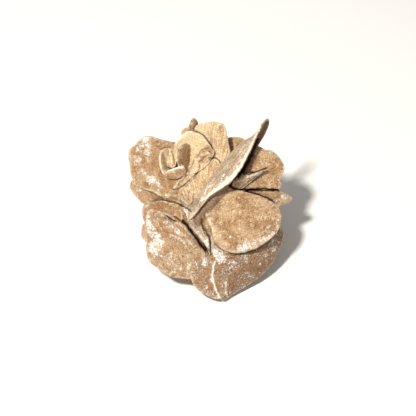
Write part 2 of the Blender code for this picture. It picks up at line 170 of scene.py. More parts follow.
# Lips are worn edges, crumbs and growth streaks that catch the light, with fine grooves
# between some of them whose dark is painted shade. Each gives its path, width, height, dark,
# pale and white.
LIPS = (
    Trace([(1.6, -8.4), (3.4, -12.4), (6.6, -15.8)], 2.2, 0.0, 0, 0.3),
    Trace([(-19.4, -7.4), (-15.5, -9.4), (-12.6, -12)], 0.5, 0.15, 0, 0.4, 0.55),
    Trace([(-18, -11), (-14.4, -12.4), (-11, -15.4)], 0.4, 0.15, 0, 0.35, 0.5),
    Trace([(-13.4, -9.6), (-10, -12.8), (-7.4, -16.6)], 0.5, 0.15, 0, 0.4, 0.35),
    Trace([(-34, 24), (-31.5, 19.6), (-28.4, 15.2), (-25, 12.8), (-22, 9.6)],
          0.6, 0.2, 0, 0.25, 0.4),
    Trace([(-33, 28), (-29, 23.4), (-25.6, 18.6)], 0.5, 0.2, 0, 0.25, 0.3),
    Trace([(-8.5, -8.6), (-6.7, -9.8), (-4.4, -12.2), (-2.7, -14.5), (-1.3, -17)],
          0.45, 0.25, 0, 0.8, 0.3),
    Trace([(-12.4, -7), (-9.8, -9.8), (-8.6, -11.3)], 0.4, 0.2, 0, 0.6, 0.3),
    Trace([(-11.6, 6.4), (-10.5, 4.8), (-10.3, 2.8)], 0.32, 0.3, 0, 0.7),
    Trace([(-9, 6.6), (-8.3, 5.2), (-8.6, 3)], 0.32, 0.3, 0, 0.6),
    Trace([(-16.4, 3.8), (-15.8, 1.6)], 0.32, 0.25, 0, 0.7),
    Trace([(-13.4, 5.4), (-14.2, 3.6), (-13.6, 2.4)], 0.32, 0.25, 0, 0.6),
    Trace([(-19, 6.4), (-14.6, 6.2), (-11.8, 5.6)], 0.3, 0.25, 0, 0.6),
    Trace([(-35.6, 12.6), (-32.6, 10.7), (-30, 9.3), (-25, 8.2), (-23, 6.8), (-21, 5.4)],
          0.45, 0.2, 0, 0.8),
    Trace([(-29.8, 0.8), (-26, 3), (-22, 3.8), (-18, 3.4)], 0.5, 0.15, 0, 0.6),
    Trace([(-16.2, -2.4), (-15.4, -0.7), (-13.9, 0)], 0.35, 0.2, 0, 0.5),
    Trace([(-23, -1), (-19.5, -2.3), (-16, -3.7)], 0.5, 0.2, 0, 0.6, 0.4),
    Trace([(-15.3, 29.6), (-13.4, 31.8), (-12, 33.4), (-10, 34.8), (-8, 34.9)],
          0.55, 0.2, 0, 1.0, 0.8),
    Trace([(-8, 34.8), (-4.7, 33.8), (-2.3, 31.8), (-0.4, 29.2)], 0.4, 0.15, 0, 0.6),
    Trace([(-13.2, 29), (-14.4, 25), (-15.4, 20.7)], 0.45, 0.2, 0, 0.9),
    Trace([(-20.2, 17), (-18.4, 17.7), (-16, 18.3), (-13.5, 18.8), (-12, 18.9)],
          0.55, 0.2, 0, 1.0, 1.0),
    Trace([(-22, 24), (-22, 20.2), (-20.3, 16.4)], 0.4, 0.2, 0, 0.9),
    Trace([(-18.4, 27), (-18.2, 25), (-16.9, 21)], 0.4, 0.2, 0, 0.9),
    Trace([(-23, 26.3), (-21, 27.2), (-17, 27.2)], 0.35, 0.2, 0, 0.6),
    Trace([(-6, 25), (-4.6, 26.9), (-3, 28.3), (-1, 28.9), (0.2, 28.2)], 0.35, 0.25, 0, 0.5),
    Trace([(-5.2, 22.8), (-3.2, 24.4), (-1, 25.2), (0, 25)], 0.35, 0.3, 0, 0.8),
    Trace([(-4.9, 22.2), (-4, 22.6)], 0.5, 0.2, 0, 0.6, 0.5),
    Trace([(-6.4, 22.8), (-7, 20), (-9.5, 17), (-12.5, 14), (-15, 11.4)], 0.4, 0.35, 0, 0.5),
    Trace([(-7.6, 15), (-9.5, 13.4), (-12, 11.6)], 0.4, 0.3, 0, 0.5),
    Trace([(-4.2, 20.6), (-4.2, 18.2), (-5.6, 15.6), (-7.6, 13.6)], 0.35, 0.2, 0, 0.4),
    Trace([(-1, 22), (0.6, 22.6), (2.4, 22.2), (4, 20.8)], 0.4, 0.15, 0, 0.8),
    Trace([(-15, 9.6), (-12, 9.7), (-8.5, 9.6)], 0.35, 0.25, 0, 0.5),
    Trace([(-19, 6.5), (-16, 6.2), (-13, 6), (-12.2, 3.6)], 0.35, 0.25, 0, 0.5),
    Trace([(22.6, 38), (21.2, 35.4), (20.4, 32.6), (18.4, 28), (16.9, 25), (14.8, 21.2)],
          0.7, 0.2, 0, 0.8, 1.0),
    Trace([(14.9, 21.2), (12.6, 17.6), (9.8, 14.2), (6.4, 11.4), (3, 8.9), (0.2, 6.6)],
          1.0, 0.2, 0, 0.9, 1.1),
    Trace([(0.4, 6.8), (-1.6, 5.2), (-4, 3.9)], 0.5, 0.2, 0, 0.9, 0.9),
    Trace([(0.9, 11.1), (-1, 9.4), (-2.7, 7), (-3.8, 4.8)], 0.35, 0.25, 0, 0.5, 0.8),
    Trace([(5.7, 15.2), (5.1, 13), (4, 11)], 0.3, 0.2, 0, 0.5, 0.8),
    Trace([(9, 20.6), (5, 17.2), (1, 13)], 0.3, 0.2, 0, 0.3),
    Trace([(12, 24), (8, 19), (3.4, 13.4)], 0.3, -0.25, 0.2),
    Trace([(16, 28), (12, 22.6), (8, 16.6), (5.4, 13.4)], 0.3, -0.25, 0.25),
    Trace([(17.6, 29.6), (14, 23.6), (10.4, 17.6)], 0.25, 0.2, 0, 0.4, 0.2),
    Trace([(-4.6, 2.2), (-8.2, -2.2), (-10, -5)], 0.3, 0.25, 0, 0.5),
    Trace([(-3, 3.9), (-6, 0.4), (-8.6, -3)], 0.3, -0.25, 0.3),
    Trace([(-1.5, -2), (-0.6, -4.4), (0.6, -7.4), (1.6, -10)], 0.5, 0.2, 0, 0.9),
    Trace([(12.4, 12.4), (16.5, 14), (20.4, 16.2), (24, 18)], 0.6, 0.3, 0, 0.8),
    Trace([(6.4, -18.2), (10.5, -18.8), (15, -18.4), (20.5, -16.6), (25, -13.9), (28.6, -10.9),
           (30.8, -7.4)], 0.8, 0.15, 0, 0.7, 0.3),
    Trace([(2, -23.4), (1.5, -27), (1, -30.6), (2, -33.4), (3, -36.4), (4.6, -40.2)],
          0.6, 0.5, 0, 0.8, 0.8),
    Trace([(7.4, -32.8), (6.9, -36.6), (8, -39.6)], 0.5, 0.3, 0, 0.6, 0.6),
    Trace([(-10.2, -25.6), (-9.9, -28), (-8.9, -30.2), (-8, -31.6)], 0.5, 0.2, 0, 0.8, 0.5),
    Trace([(-23, 25.6), (-26, 22.4), (-30, 20)], 0.3, 0.15, 0, 0.2, 0.3),
    Trace([(13, -4.4), (17.4, -3.4), (21.5, -5)], 0.3, -0.15, 0.15),
    Trace([(8, -8.6), (14, -10.4), (21, -9.6), (26, -6.4)], 0.3, 0.15, 0, 0.2),
    Trace([(7.4, -12.4), (14, -14.6), (21, -13.4), (27, -9.4)], 0.3, 0.15, 0, 0.2),
)


class Grain(Enum):
    """The way that a blade's growth lines run over it."""

    SANDY = "no direction, only packed grains"
    FANNED = "spread from the blade's root to its rim"
    LENGTHWISE = "along the blade"


class Draw(IntEnum):
    """What each pattern of a blade adds to its seed, so that no two are alike."""

    BITES = 0
    SHORT_BITES = 5
    LEDGE_WANDER = 11
    LEDGE_PATCHES = 23
    WARP = 31
    LINES = 70
    FROST_ACROSS = 301
    FROST_UP = 302
    FROST_CHANGE = 303


def face_to_world() -> Matrix:
    """Gives the placing of the face frame in the part's frame.

    Returns:
        The matrix that takes millimetres in the first to metres in the second.
    """
    tip = Matrix.Rotation(math.radians(FACE_TIP), 4, "X")
    lift = Matrix.Translation(Vector((0.0, -REST_BACK, REST_DROP)) * MM)
    return lift @ tip @ Matrix.Scale(MM, 4)


def lattice_noise(points: np.ndarray, size: float, seed: int) -> np.ndarray:
    """Gives smooth noise from -1 to 1 at each point.

    Args:
        points: Places in millimetres, one row of three numbers each.
        size: Distance in millimetres over which the noise changes.
        seed: Whole number that picks the pattern.

    Returns:
        One number for each point.
    """
    spot = points / size + SEED_SHIFT * seed
    cell = np.floor(spot).astype(np.int64)
    part = spot - cell
    ease = part**3 * (part * (part * 6 - 15) + 10)
    total = np.zeros(len(points))
    for corner in product((0, 1), repeat=3):
        key = (cell + corner) * CELL_KEYS
        mixed = key[:, 0] ^ key[:, 1] ^ key[:, 2] ^ (seed * SEED_KEY % KEY_RANGE)
        for shift, factor in MIXING:
            mixed = (mixed ^ (mixed >> shift)) * factor % KEY_RANGE
        share = np.prod(np.where(np.array(corner), ease, 1 - ease), axis=1)
        total += share * (2 * mixed / KEY_RANGE - 1)
    return total


def layered_noise(
    points: np.ndarray, layers: Iterable[tuple[float, float, int]], seed: int
) -> np.ndarray:
    """Adds up noise of several sizes.

    Args:
        points: Places in millimetres, one row of three numbers each.
        layers: For each layer, its size, its height and what it adds to the seed.
        seed: Whole number that picks the pattern.

    Returns:
        One height for each point, in millimetres.
    """
    total = np.zeros(len(points))
    for size, height, step in layers:
        total += height * lattice_noise(points, size, seed + step)
    return total


def smooth_step(values: np.ndarray, low: float, high: float) -> np.ndarray:
    """Goes smoothly from 0 at low to 1 at high."""
    part = np.clip((values - low) / (high - low), 0.0, 1.0)
    return part * part * (3 - 2 * part)


def raised(flat: np.ndarray, out: float | np.ndarray = 0.0) -> np.ndarray:
    """Gives places in a plane their third number, how far out of it they are."""
    return np.column_stack([flat, np.broadcast_to(out, len(flat))])


def lying(turn: float, lean: float, spin: float = 0.0) -> tuple[Vector, Vector]:
    """Gives the two axes of a plane in the face frame.

    Args:
        turn: Degrees that the plane faces to the right.
        lean: Degrees that it faces up.
        spin: Degrees that its axes are turned in the plane.

    Returns:
        The plane's along and across axes.
    """
    turned, leant, spun = (math.radians(angle) for angle in (turn, lean, spin))
    right = Vector((math.cos(turned), 0.0, -math.sin(turned)))
    upward = Vector(
        (
            -math.sin(leant) * math.sin(turned),
            math.cos(leant),
            -math.sin(leant) * math.cos(turned),
        )
    )
    along = right * math.cos(spun) + upward * math.sin(spun)
    across = upward * math.cos(spun) - right * math.sin(spun)
    return along, across


def smooth_ring(points: Outline, step: float, parts: int = 24, least: int = 12) -> np.ndarray:
    """Gives points evenly spaced along a smooth closed curve, counter-clockwise.

    Args:
        points: Corners of the outline that the curve goes through.
        step: Spacing of the points in millimetres.
        parts: Stretches that the curve is measured in between two corners.
        least: Fewest points that the ring may have.

    Returns:
        One row of two numbers for each point.
    """
    corners = np.array(points, float)
    ends = np.roll(corners, -1, 0)
    before, after = np.roll(corners, 1, 0), np.roll(corners, -2, 0)
    fine = []
    for t in np.linspace(0.0, 1.0, parts, endpoint=False):
        fine.append(
            0.5
            * (
                2 * corners
                + (ends - before) * t
                + (2 * before - 5 * corners + 4 * ends - after) * t**2
                + (3 * corners - before - 3 * ends + after) * t**3
            )
        )
    curve = np.stack(fine, 1).reshape(-1, 2)
    closed = np.vstack([curve, curve[:1]])
    lengths = np.r_[0.0, np.cumsum(np.linalg.norm(np.diff(closed, axis=0), axis=1))]
    count = max(least, round(lengths[-1] / step))
    places = np.linspace(0.0, lengths[-1], count, endpoint=False)
    ring = np.stack([np.interp(places, lengths, closed[:, k]) for k in (0, 1)], 1)
    turned = np.roll(ring, -1, 0)
    if np.sum(ring[:, 0] * turned[:, 1] - ring[:, 1] * turned[:, 0]) < 0:
        ring = ring[::-1]
    return ring


def distance_to(places: np.ndarray, start: np.ndarray, end: np.ndarray) -> np.ndarray:
    """Gives how far each place is from the nearest of some straight stretches.

    Args:
        places: Places in a plane, one row of two numbers each.
        start: Where each stretch starts.
        end: Where each stretch ends.

    Returns:
        One distance for each place.
    """
    run = (end - start)[None]
    away = places[:, None] - start[None]
    share = np.clip((away * run).sum(2) / np.maximum((run * run).sum(2), 1e-12), 0, 1)
    return np.sqrt(((away - share[..., None] * run) ** 2).sum(2)).min(1)


def distance_in(places: np.ndarray, ring: np.ndarray) -> np.ndarray:
    """Gives how far each place is from a closed ring."""
    return distance_to(places, ring, np.roll(ring, -1, 0))


def inside(places: np.ndarray, ring: np.ndarray) -> np.ndarray:
    """Tells which places lie inside a closed ring, by the stretches right of them.

    Args:
        places: Places in the ring's plane, one row of two numbers each.
        ring: The ring's corners in order.

    Returns:
        True or False for each place.
    """
    x, y = places[:, 0, None], places[:, 1, None]
    x0, y0 = ring[:, 0], ring[:, 1]
    x1, y1 = np.roll(x0, -1), np.roll(y0, -1)
    rise = np.where(y1 == y0, 1e-9, y1 - y0)
    crossed = ((y0 > y) != (y1 > y)) & (x < x0 + (y - y0) * (x1 - x0) / rise)
    return crossed.sum(1) % 2 == 1


@dataclass(frozen=True)
class Tracery:
    """All the cracks and lips, which waver over the blades as natural ones do.

    Attributes:
        traces: The cracks and lips.
        stray: How far they leave their paths, in millimetres.
        stray_size: Distance over which they do so.
        usual_width: Their usual share of the width that they are given.
        width_change: How much that share changes along them.
        width_size: Distance over which it changes.
        reach: Widths beyond which a trace adds nothing.
        seed: Whole number that picks how they waver.
    """

    traces: tuple[Trace, ...]
    stray: float = 0.32
    stray_size: float = 1.4
    usual_width: float = 0.85
    width_change: float = 0.3
    width_size: float = 2.0
    reach: float = 3.0
    seed: int = 406

    def at(self, places: np.ndarray) -> np.ndarray:
        """Gives what the cracks and lips add at each place.

        Args:
            places: Places in the face frame.

        Returns:
            One row for each place: height, and the shares of dark, pale and white.
        """
        waver = self.stray * np.column_stack(
            [lattice_noise(places, self.stray_size, self.seed + k) for k in (0, 1)]
        )
        thin = self.usual_width + self.width_change * lattice_noise(
            places, self.width_size, self.seed + 2
        )
        spot = places[:, :2] + waver
        found = np.zeros((len(places), 4))
        for trace in self.traces:
            line = np.array(trace.path, float)
            reach = self.reach * trace.width
            near = np.all((spot > line.min(0) - reach) & (spot < line.max(0) + reach), axis=1)
            if not near.any():
                continue
            away = distance_to(spot[near], line[:-1], line[1:]) / (trace.width * thin[near])
            soft, crisp = np.exp(-(away**2)), np.exp(-(away**4))
            found[near, HEIGHT] += trace.height * soft
            for column, value in (
                # dark is painted shade in the cracks and grooves
                (DARK, trace.dark * crisp),
                (PALE, trace.pale * soft),
                (WHITE, trace.white * soft),
            ):
                found[near, column] = np.maximum(found[near, column], value)
        return found


MARKS = Tracery(CRACKS + LIPS)


@dataclass
class Shell:
    """A closed mesh in the face frame, with what its finish needs at each vertex.

    Attributes:
        name: What the shell is called.
        points: Its vertices in millimetres.
        faces: Vertex numbers round each face.
        look: For each vertex, how near it is to the worn rim, its frost, the tone of its
        sand, its greyness and how dark its painted crack shade is.
        lie: For each vertex, its place along and across the growth lines in
            millimetres, and 1 where the blade has such lines.
    """

    name: str
    points: np.ndarray
    faces: list[tuple[int, ...]]
    look: np.ndarray
    lie: np.ndarray

    def to_object(self, placing: Matrix) -> bpy.types.Object:
        """Makes the shell a Blender object.

        Args:
            placing: Placing of the face frame in the part's frame.

        Returns:
            The object, in the scene and in metres.
        """
        mesh = bpy.data.meshes.new(self.name)
        mesh.from_pydata([tuple(p) for p in self.points], [], self.faces)
        mesh.transform(placing)
        obj = bpy.data.objects.new(self.name, mesh)
        bpy.context.scene.collection.objects.link(obj)
        return obj


@dataclass
class Sheet:
    """A flat triangle mesh in a blade's plane.

    Attributes:
        flat: Its places, one row of two numbers each.
        triangles: Place numbers of each triangle.
        border: Place numbers round its rim.
        pull: How far its rim lies inside the blade's, in millimetres.
    """

    flat: np.ndarray
    triangles: list[list[int]]
    border: list[int]
    pull: float


@dataclass(frozen=True)
class Wear:
    """How a blade's surface is worn, ledged and frosted. Sizes are in millimetres."""

    bites: tuple[float, float] = (4.2, 2.1)  # sizes of the rim's long and short bites
    bite_depths: tuple[float, float] = (0.5, 0.6)  # as shares of the blade's scallop
    warp: float = 0.45  # how far a blade is out of true
    warp_size: float = 10.0
    ledge_step: float = 2.3  # between growth ledges
    ledge_riser: float = 0.35  # share of that step in which the ledge rises
    ledge_wander: float = 1.1
    ledge_wander_size: float = 5.0
    ledge_shown: float = 0.45  # share of their height that the ledges mostly have
    ledge_change: float = 0.55  # how much that share comes and goes
    ledge_patch_size: float = 9.0  # over which it does so
    ledge_depth: float = 9.0  # how far in from the rim there are ledges
    line: float = 0.12  # height of the growth lines
    line_sizes: tuple[float, float] = (9.0, 1.25)  # along and across them
    rim_relief: float = 0.25  # share of the roughness that the rim itself has
    smooth_rim: float = 1.4  # how far in from the rim it has all of it
    fan_root: float = 1.6  # where fanned lines meet, as a share of the blade's lower half
    fan_radius: float = 28.0  # at which fanned lines have their usual spacing
    mark_rim: float = 0.8  # how far in from the rim cracks reach their full depth
    frost_stray: float = 0.7  # how ragged the frost's patches are
    frost_stray_size: float = 2.2
    frost_change: float = 0.6  # share by which the frost all over a blade comes and goes
    frost_change_size: float = 4.5
    frost_fade: tuple[float, float] = (0.1, 2.6)  # radii between which a patch fades
    frost_least: float = 0.4  # frost of the smallest patch
    frost_growth: float = 0.36  # more of it for each millimetre of radius


@dataclass(frozen=True)
class Meshing:
    """How finely a blade is meshed, most of it in shares of its mesh step."""

    rim: float = 0.9  # spacing round the rim
    row: float = 0.866  # spacing of the rows
    uneven: float = 0.18  # how far the places stray from even rows
    uneven_size: float = 0.7
    uneven_seeds: tuple[int, int] = (3, 4)
    fine: float = 0.5  # spacing on the cracks and lips
    marked_from: float = 0.22  # share of a crack or lip from which the mesh is fine
    front: float = 0.35  # thicknesses that a blade's front stands out of its plane
    clear: float = 0.55  # least distance from the rim
    pulls: tuple[float, ...] = (0.3, 0.2, 0.12, 0.06)  # mm, tried in turn
    band_pull: float = 0.08  # mm that the rim's outer bands lie inside its middle
    band_level: float = 0.62  # half thicknesses that they stand over it


WEAR = Wear()
MESHING = Meshing()


@dataclass
class Blade:
    """One lens-shaped gypsum blade.

    Its rim is given as (along, across) in its own plane, in millimetres.

    Attributes:
        name: What the blade is called.
        middle: Middle of the blade in the face frame.
        along: First axis of its plane.
        across: Second axis of its plane.
        rim: Its outline in that plane.
        thick: Thickness at its middle.
        dish: How far its rim stands out of its middle, as a bowl's does.
        mesh_step: Spacing of its mesh.
        grain: The way that its growth lines run.
        ledge: Height of its growth ledges.
        tone: Lightness of its sand, 1 for the usual gold.
        grey: Share of grey silt in it.
        frost: Share of it that is worn to white all over.
        frosted: White patches on it, as (across, up, radius) in the face frame.
        edge: Thickness of its rim.
        scallop: How deep its rim is bitten.
        seen: Whether it shows on the open face, where the cracks and lips run.
        seed: Whole number that picks its roughness.
    """

    name: str
    middle: Vector
    along: Vector
    across: Vector
    rim: list[tuple[float, float]]
    thick: float = 3.6
    dish: float = 0.0
    mesh_step: float = 0.62
    grain: Grain = Grain.SANDY
    ledge: float = 0.14
    tone: float = 1.0
    grey: float = 0.0
    frost: float = 0.0
    frosted: tuple[tuple[float, float, float], ...] = ()
    edge: float = 0.85
    scallop: float = 0.3
    seen: bool = True
    seed: int = UNSEEDED

    @classmethod
    def open(
        cls, name: str, out: float, turn: float, lean: float, outline: Outline, **more: Any
    ) -> "Blade":
        """Makes a blade that shows its face.

        Args:
            name: What the blade is called.
            out: How far its middle stands out of the face frame's plane.
            turn: Degrees that it faces to the right.
            lean: Degrees that it faces up.
            outline: Its (across, up) outline as seen from straight in front.
            **more: Further fields of the blade.

        Returns:
            The blade, with the outline laid on its own plane.
        """
        along, across = lying(turn, lean)
        hub_x = sum(x for x, _ in outline) / len(outline)
        hub_y = sum(y for _, y in outline) / len(outline)
        rim = []
        for x, y in outline:
            rise = (y - hub_y) / across.y
            rim.append(((x - hub_x - rise * across.x) / along.x, rise))
        return cls(name, Vector((hub_x, hub_y, out)), along, across, rim, **more)

    @classmethod
    def on_edge(
        cls,
        name: str,
        middle: tuple[float, float, float],
        turn: float,
        lean: float,
        spin: float,
        rim: Outline,
        **more: Any,
    ) -> "Blade":
        """Makes a blade that stands nearly edge on.

        Args:
            name: What the blade is called.
            middle: Middle of the blade in the face frame.
            turn: Degrees that it faces to the right.
            lean: Degrees that it faces up.
            spin: Degrees that its outline is turned in its plane.
            rim: Its (along, across) outline in its own plane.
            **more: Further fields of the blade.

        Returns:
            The blade.
        """
        along, across = lying(turn, lean, spin)
        return cls(name, Vector(middle), along, across, list(rim), **more)

    @classmethod
    def behind(
        cls,
        name: str,
        clock: float,
        back: float,
        roll: float,
        flare: float,
        reach: float,
        length: float,
        width: float,
    ) -> "Blade":
        """Makes a blade behind the open face, which sets out from the heart.

        Args:
            name: What the blade is called.
            clock: Degrees of its outward direction round the face, from the right.
            back: Degrees that it falls behind the face plane.
            roll: Degrees that it is turned about that direction.
            flare: Degrees that it leans over, as a petal does.
            reach: How far its middle line takes its tip from the heart.
            length: Its length outward.
            width: Its width.

        Returns:
            The blade, a little plainer than those in front.
        """
        around, fall = math.radians(clock), math.radians(back)
        level = Vector((-math.sin(around), math.cos(around), 0.0))
        outward = Vector(
            (
                math.cos(around) * math.cos(fall),
                math.sin(around) * math.cos(fall),
                -math.sin(fall),
            )
        )
        across = Matrix.Rotation(math.radians(roll), 3, outward) @ level
        middle = Vector(HEART) + outward * (reach - length / 2)
        along = Matrix.Rotation(math.radians(flare), 3, across) @ outward
        rim = [(x * length / 2, y * width / 2) for x, y in BACK_OUTLINE]
        return cls(
            name, middle, along, across, rim, thick=4.0, mesh_step=1.15, tone=0.86,
            frost=0.3, seed=HIDDEN_SEED + round(clock + 3 * back), edge=1.0,
            scallop=0.6, seen=False,
        )

    def placed(self, local: np.ndarray) -> np.ndarray:
        """Takes places from the blade's own axes to the face frame."""
        axes = np.array([self.along, self.across, self.along.cross(self.across)])
        return np.array(self.middle) + local @ axes

    def relief(self, flat: np.ndarray, deep: np.ndarray, side: int) -> np.ndarray:
        """Gives how far the worn, sandy surface stands above the smooth lens.

        Args:
            flat: Places in the blade's plane.
            deep: How far each place is inside the rim.
            side: 1 on the blade's front and -1 on its back.

        Returns:
            Heights in millimetres.
        """
        seed = self.seed * 2 + (side > 0)
        spot = raised(flat)
        height = layered_noise(spot, WORN_LAYERS, seed)
        wander = deep + WEAR.ledge_wander * lattice_noise(
            spot, WEAR.ledge_wander_size, seed + Draw.LEDGE_WANDER
        )
        step = wander / WEAR.ledge_step
        riser = np.floor(step) + smooth_step(step - np.floor(step), 0.0, WEAR.ledge_riser)
        patchy = WEAR.ledge_shown + WEAR.ledge_change * lattice_noise(
            spot, WEAR.ledge_patch_size, seed + Draw.LEDGE_PATCHES
        )
        shown = np.clip(patchy, 0, 1) * (deep < WEAR.ledge_depth)
        height += self.ledge * (riser - step) * shown
        if self.grain is not Grain.SANDY:
            lie = raised(self.grain_place(flat) / np.array(WEAR.line_sizes))
            height += WEAR.line * lattice_noise(lie, 1.0, seed + Draw.LINES)
        inner = smooth_step(deep, 0.0, WEAR.smooth_rim)
        return height * (WEAR.rim_relief + (1 - WEAR.rim_relief) * inner)

    def grain_place(self, flat: np.ndarray) -> np.ndarray:
        """Gives where each place is along and across the blade's growth lines.

        Args:
            flat: Places in the blade's plane.

        Returns:
            Two numbers in millimetres for each place.
        """
        if self.grain is Grain.FANNED:
            root = flat.min(0) * np.array([0.0, WEAR.fan_root])
            away = flat - root
            reach = np.linalg.norm(away, axis=1)
            turn = np.arctan2(away[:, 0], away[:, 1])
            return np.column_stack([reach, turn * WEAR.fan_radius])
        return flat.copy()

    def frost_at(self, placed: np.ndarray) -> np.ndarray:
        """Gives how frosted the blade is at each place.

        Args:
            placed: Places in the face frame.

        Returns:
            A share from 0 to 1 for each place.
        """
        ragged = np.column_stack(
            [
                lattice_noise(placed, WEAR.frost_stray_size, self.seed + draw)
                for draw in (Draw.FROST_ACROSS, Draw.FROST_UP)
            ]
        )
        spot = placed[:, :2] + WEAR.frost_stray * ragged
        come_and_go = lattice_noise(placed, WEAR.frost_change_size, self.seed + Draw.FROST_CHANGE)
        level = self.frost * (1.0 + WEAR.frost_change * come_and_go)
        for across, up, radius in self.frosted:
            away = np.hypot(spot[:, 0] - across, spot[:, 1] - up)
            near, far = (radii * radius for radii in WEAR.frost_fade)
            peak = min(1.0, WEAR.frost_least + WEAR.frost_growth * radius)
            level = np.maximum(level, peak * (1.0 - smooth_step(away, near, far)))
        return level

    def spread(self, ring: np.ndarray, step: float) -> np.ndarray:
        """Gives a slightly uneven grid of places over the box of a ring.

        Args:
            ring: The ring, in the blade's plane.
            step: Spacing of the places.

        Returns:
            The places, some of them outside the ring.
        """
        low, high = ring.min(0), ring.max(0)
        rows = []
        for k, y in enumerate(np.arange(low[1], high[1], step * MESHING.row)):
            xs = np.arange(low[0] + (k % 2) * step / 2, high[0], step)
            rows.append(np.column_stack([xs, np.full(len(xs), y)]))
        grid = np.vstack(rows)
        spot, size = raised(grid), step * MESHING.uneven_size
        return grid + MESHING.uneven * step * np.column_stack(
            [lattice_noise(spot, size, seed) for seed in MESHING.uneven_seeds]
        )

    def marked(self, flat: np.ndarray) -> np.ndarray:
        """Tells which places lie on a crack or a lip, and so need a finer mesh."""
        found = MARKS.at(self.placed(raised(flat, MESHING.front * self.thick)))
        return found[:, DARK:].max(1) > MESHING.marked_from

    def worn_rim(self) -> tuple[np.ndarray, np.ndarray]:
        """Bites the rim as wear does.

        Returns:
            Places round the rim, and the way inward at each of them.
        """
        ring = smooth_ring(self.rim, self.mesh_step * MESHING.rim)
        run = np.roll(ring, -1, 0) - np.roll(ring, 1, 0)
        run = run / np.linalg.norm(run, axis=1)[:, None]
        inward = np.column_stack([-run[:, 1], run[:, 0]])
        long, short = (
            lattice_noise(raised(ring), size, self.seed + draw)
            for size, draw in zip(WEAR.bites, (Draw.BITES, Draw.SHORT_BITES))
        )
        deep, sharp = WEAR.bite_depths
        bite = deep * long**2 + sharp * np.clip(short, 0, 1)
        return ring + inward * (self.scallop * bite)[:, None], inward

    def sheet(self, outer: np.ndarray, inward: np.ndarray) -> Sheet:
        """Meshes the blade's plane, from its rim pulled in a little.

        Args:
            outer: Places round the bitten rim.
            inward: The way inward at each of them.

        Returns:
            The flat mesh, for the first pull that lets the rim mesh cleanly.
        """
        step = self.mesh_step
        grid = self.spread(outer, step)
        if self.seen:
            fine = self.spread(outer, MESHING.fine * step)
            grid = np.vstack([grid[~self.marked(grid)], fine[self.marked(fine)]])
        loop = list(range(len(outer)))
        for pull in MESHING.pulls:
            border = outer + inward * pull
            kept = grid[inside(grid, border)]
            kept = kept[distance_in(kept, border) > MESHING.clear * step]
            flat = np.vstack([border, kept])
            spots, _, faces, sources, *_ = delaunay_2d_cdt(
                [Vector(p) for p in flat], [], [loop], 1, 1e-7, True
            )
            if len(spots) == len(flat) and all(len(source) == 1 for source in sources):
                break
        flat = np.array([tuple(spot) for spot in spots])
        order = {source: place for place, found in enumerate(sources) for source in found}
        triangles = np.array(faces)
        triangles = triangles[inside(flat[triangles].mean(1), border)].tolist()
        return Sheet(flat, triangles, [order[k] for k in loop], pull)

    def shell(self) -> Shell:
        """Builds the blade as a closed lens with a rounded, scalloped rim.

        Returns:
            The blade's shell.
        """
        outer, inward = self.worn_rim()
        sheet = self.sheet(outer, inward)
        flat, size, count = sheet.flat, len(sheet.flat), len(outer)
        deep = distance_in(flat, outer)
        share = 1 - np.clip(deep / max(deep.max(), 1.0), 0, 1)
        half = self.edge / 2 + (self.thick - self.edge) / 2 * (1 - share**2)
        warp = WEAR.warp * lattice_noise(raised(flat), WEAR.warp_size, self.seed + Draw.WARP)
        lift = self.dish * share**2 + warp * share
        layers = []
        for side in (1, -1):
            high = lift + side * (half + self.relief(flat, deep, side))
            if side == 1 and self.seen:
                cut = MARKS.at(self.placed(raised(flat, high)))[:, HEIGHT]
                high = high + cut * smooth_step(deep, 0.0, WEAR.mark_rim)
            layers.append(raised(flat, high))
        for pull, level in (
            (MESHING.band_pull, MESHING.band_level),
            (0.0, 0.0),
            (MESHING.band_pull, -MESHING.band_level),
        ):
            band = outer + inward * pull * sheet.pull / MESHING.pulls[0]
            layers.append(raised(band, lift[sheet.border] + level * half[sheet.border]))
        local = np.vstack(layers)
        depth = np.concatenate([deep, deep, np.zeros(3 * count)])
        placed = self.placed(local)
        return Shell(
            self.name,
            placed,
            self.faces(sheet, size, count),
            self.look(placed, depth, slice(size, 2 * size)),
            raised(self.grain_place(local[:, :2]), float(self.grain is not Grain.SANDY)),
        )

    def faces(self, sheet: Sheet, size: int, count: int) -> list[tuple[int, ...]]:
        """Gives the faces of the front, the back and the rounded rim between them.

        Args:
            sheet: The flat mesh that the front and the back share.
            size: How many places it has.
            count: How many places are round the rim.

        Returns:
            Vertex numbers round each face.
        """
        faces = [tuple(face) for face in sheet.triangles]
        faces += [tuple(k + size for k in reversed(face)) for face in sheet.triangles]
        starts = [2 * size + k * count for k in range(3)]
        loops = [
            sheet.border,
            *[list(range(start, start + count)) for start in starts],
            [k + size for k in sheet.border],
        ]
        for upper, lower in zip(loops, loops[1:]):
            for k in range(count):
                after = (k + 1) % count
                faces.append((upper[k], lower[k], lower[after]))
                faces.append((upper[k], lower[after], upper[after]))
        return faces

    def look(self, placed: np.ndarray, depth: np.ndarray, back: slice) -> np.ndarray:
        """Gives what the finish needs at each vertex.

        Args:
            placed: The vertices in the face frame.
            depth: How far each is inside the rim.
            back: Which of them are on the blade's back, where no crack or lip runs.

        Returns:
            One row for each vertex, as in a shell's look.
        """
        marks = np.zeros((len(placed), 4))
        if self.seen:
            marks = MARKS.at(placed)
            marks[back] = 0.0
        worn = RIM_PALE * np.exp(-((depth / RIM_FADE) ** 2)) * (1.0 - marks[:, DARK])
        look = np.zeros((len(placed), 5))
        look[:, RIM] = np.maximum(worn, marks[:, PALE])
        look[:, FROST] = np.maximum(self.frost_at(placed), marks[:, WHITE] * MARK_WHITE)
        look[:, TONE] = self.tone
        look[:, GREY] = self.grey
        # painted shade in the cracks and grooves
        look[:, CRACK_SHADE] = marks[:, DARK]
        return look


BACK_OUTLINE = (  # a rounded blade's rim, as shares of its half length and half width
    (1.0, 0.1), (0.72, 0.72), (0.1, 1.0), (-0.6, 0.8),
    (-1.0, 0.0), (-0.6, -0.85), (0.1, -0.95), (0.78, -0.6),
)


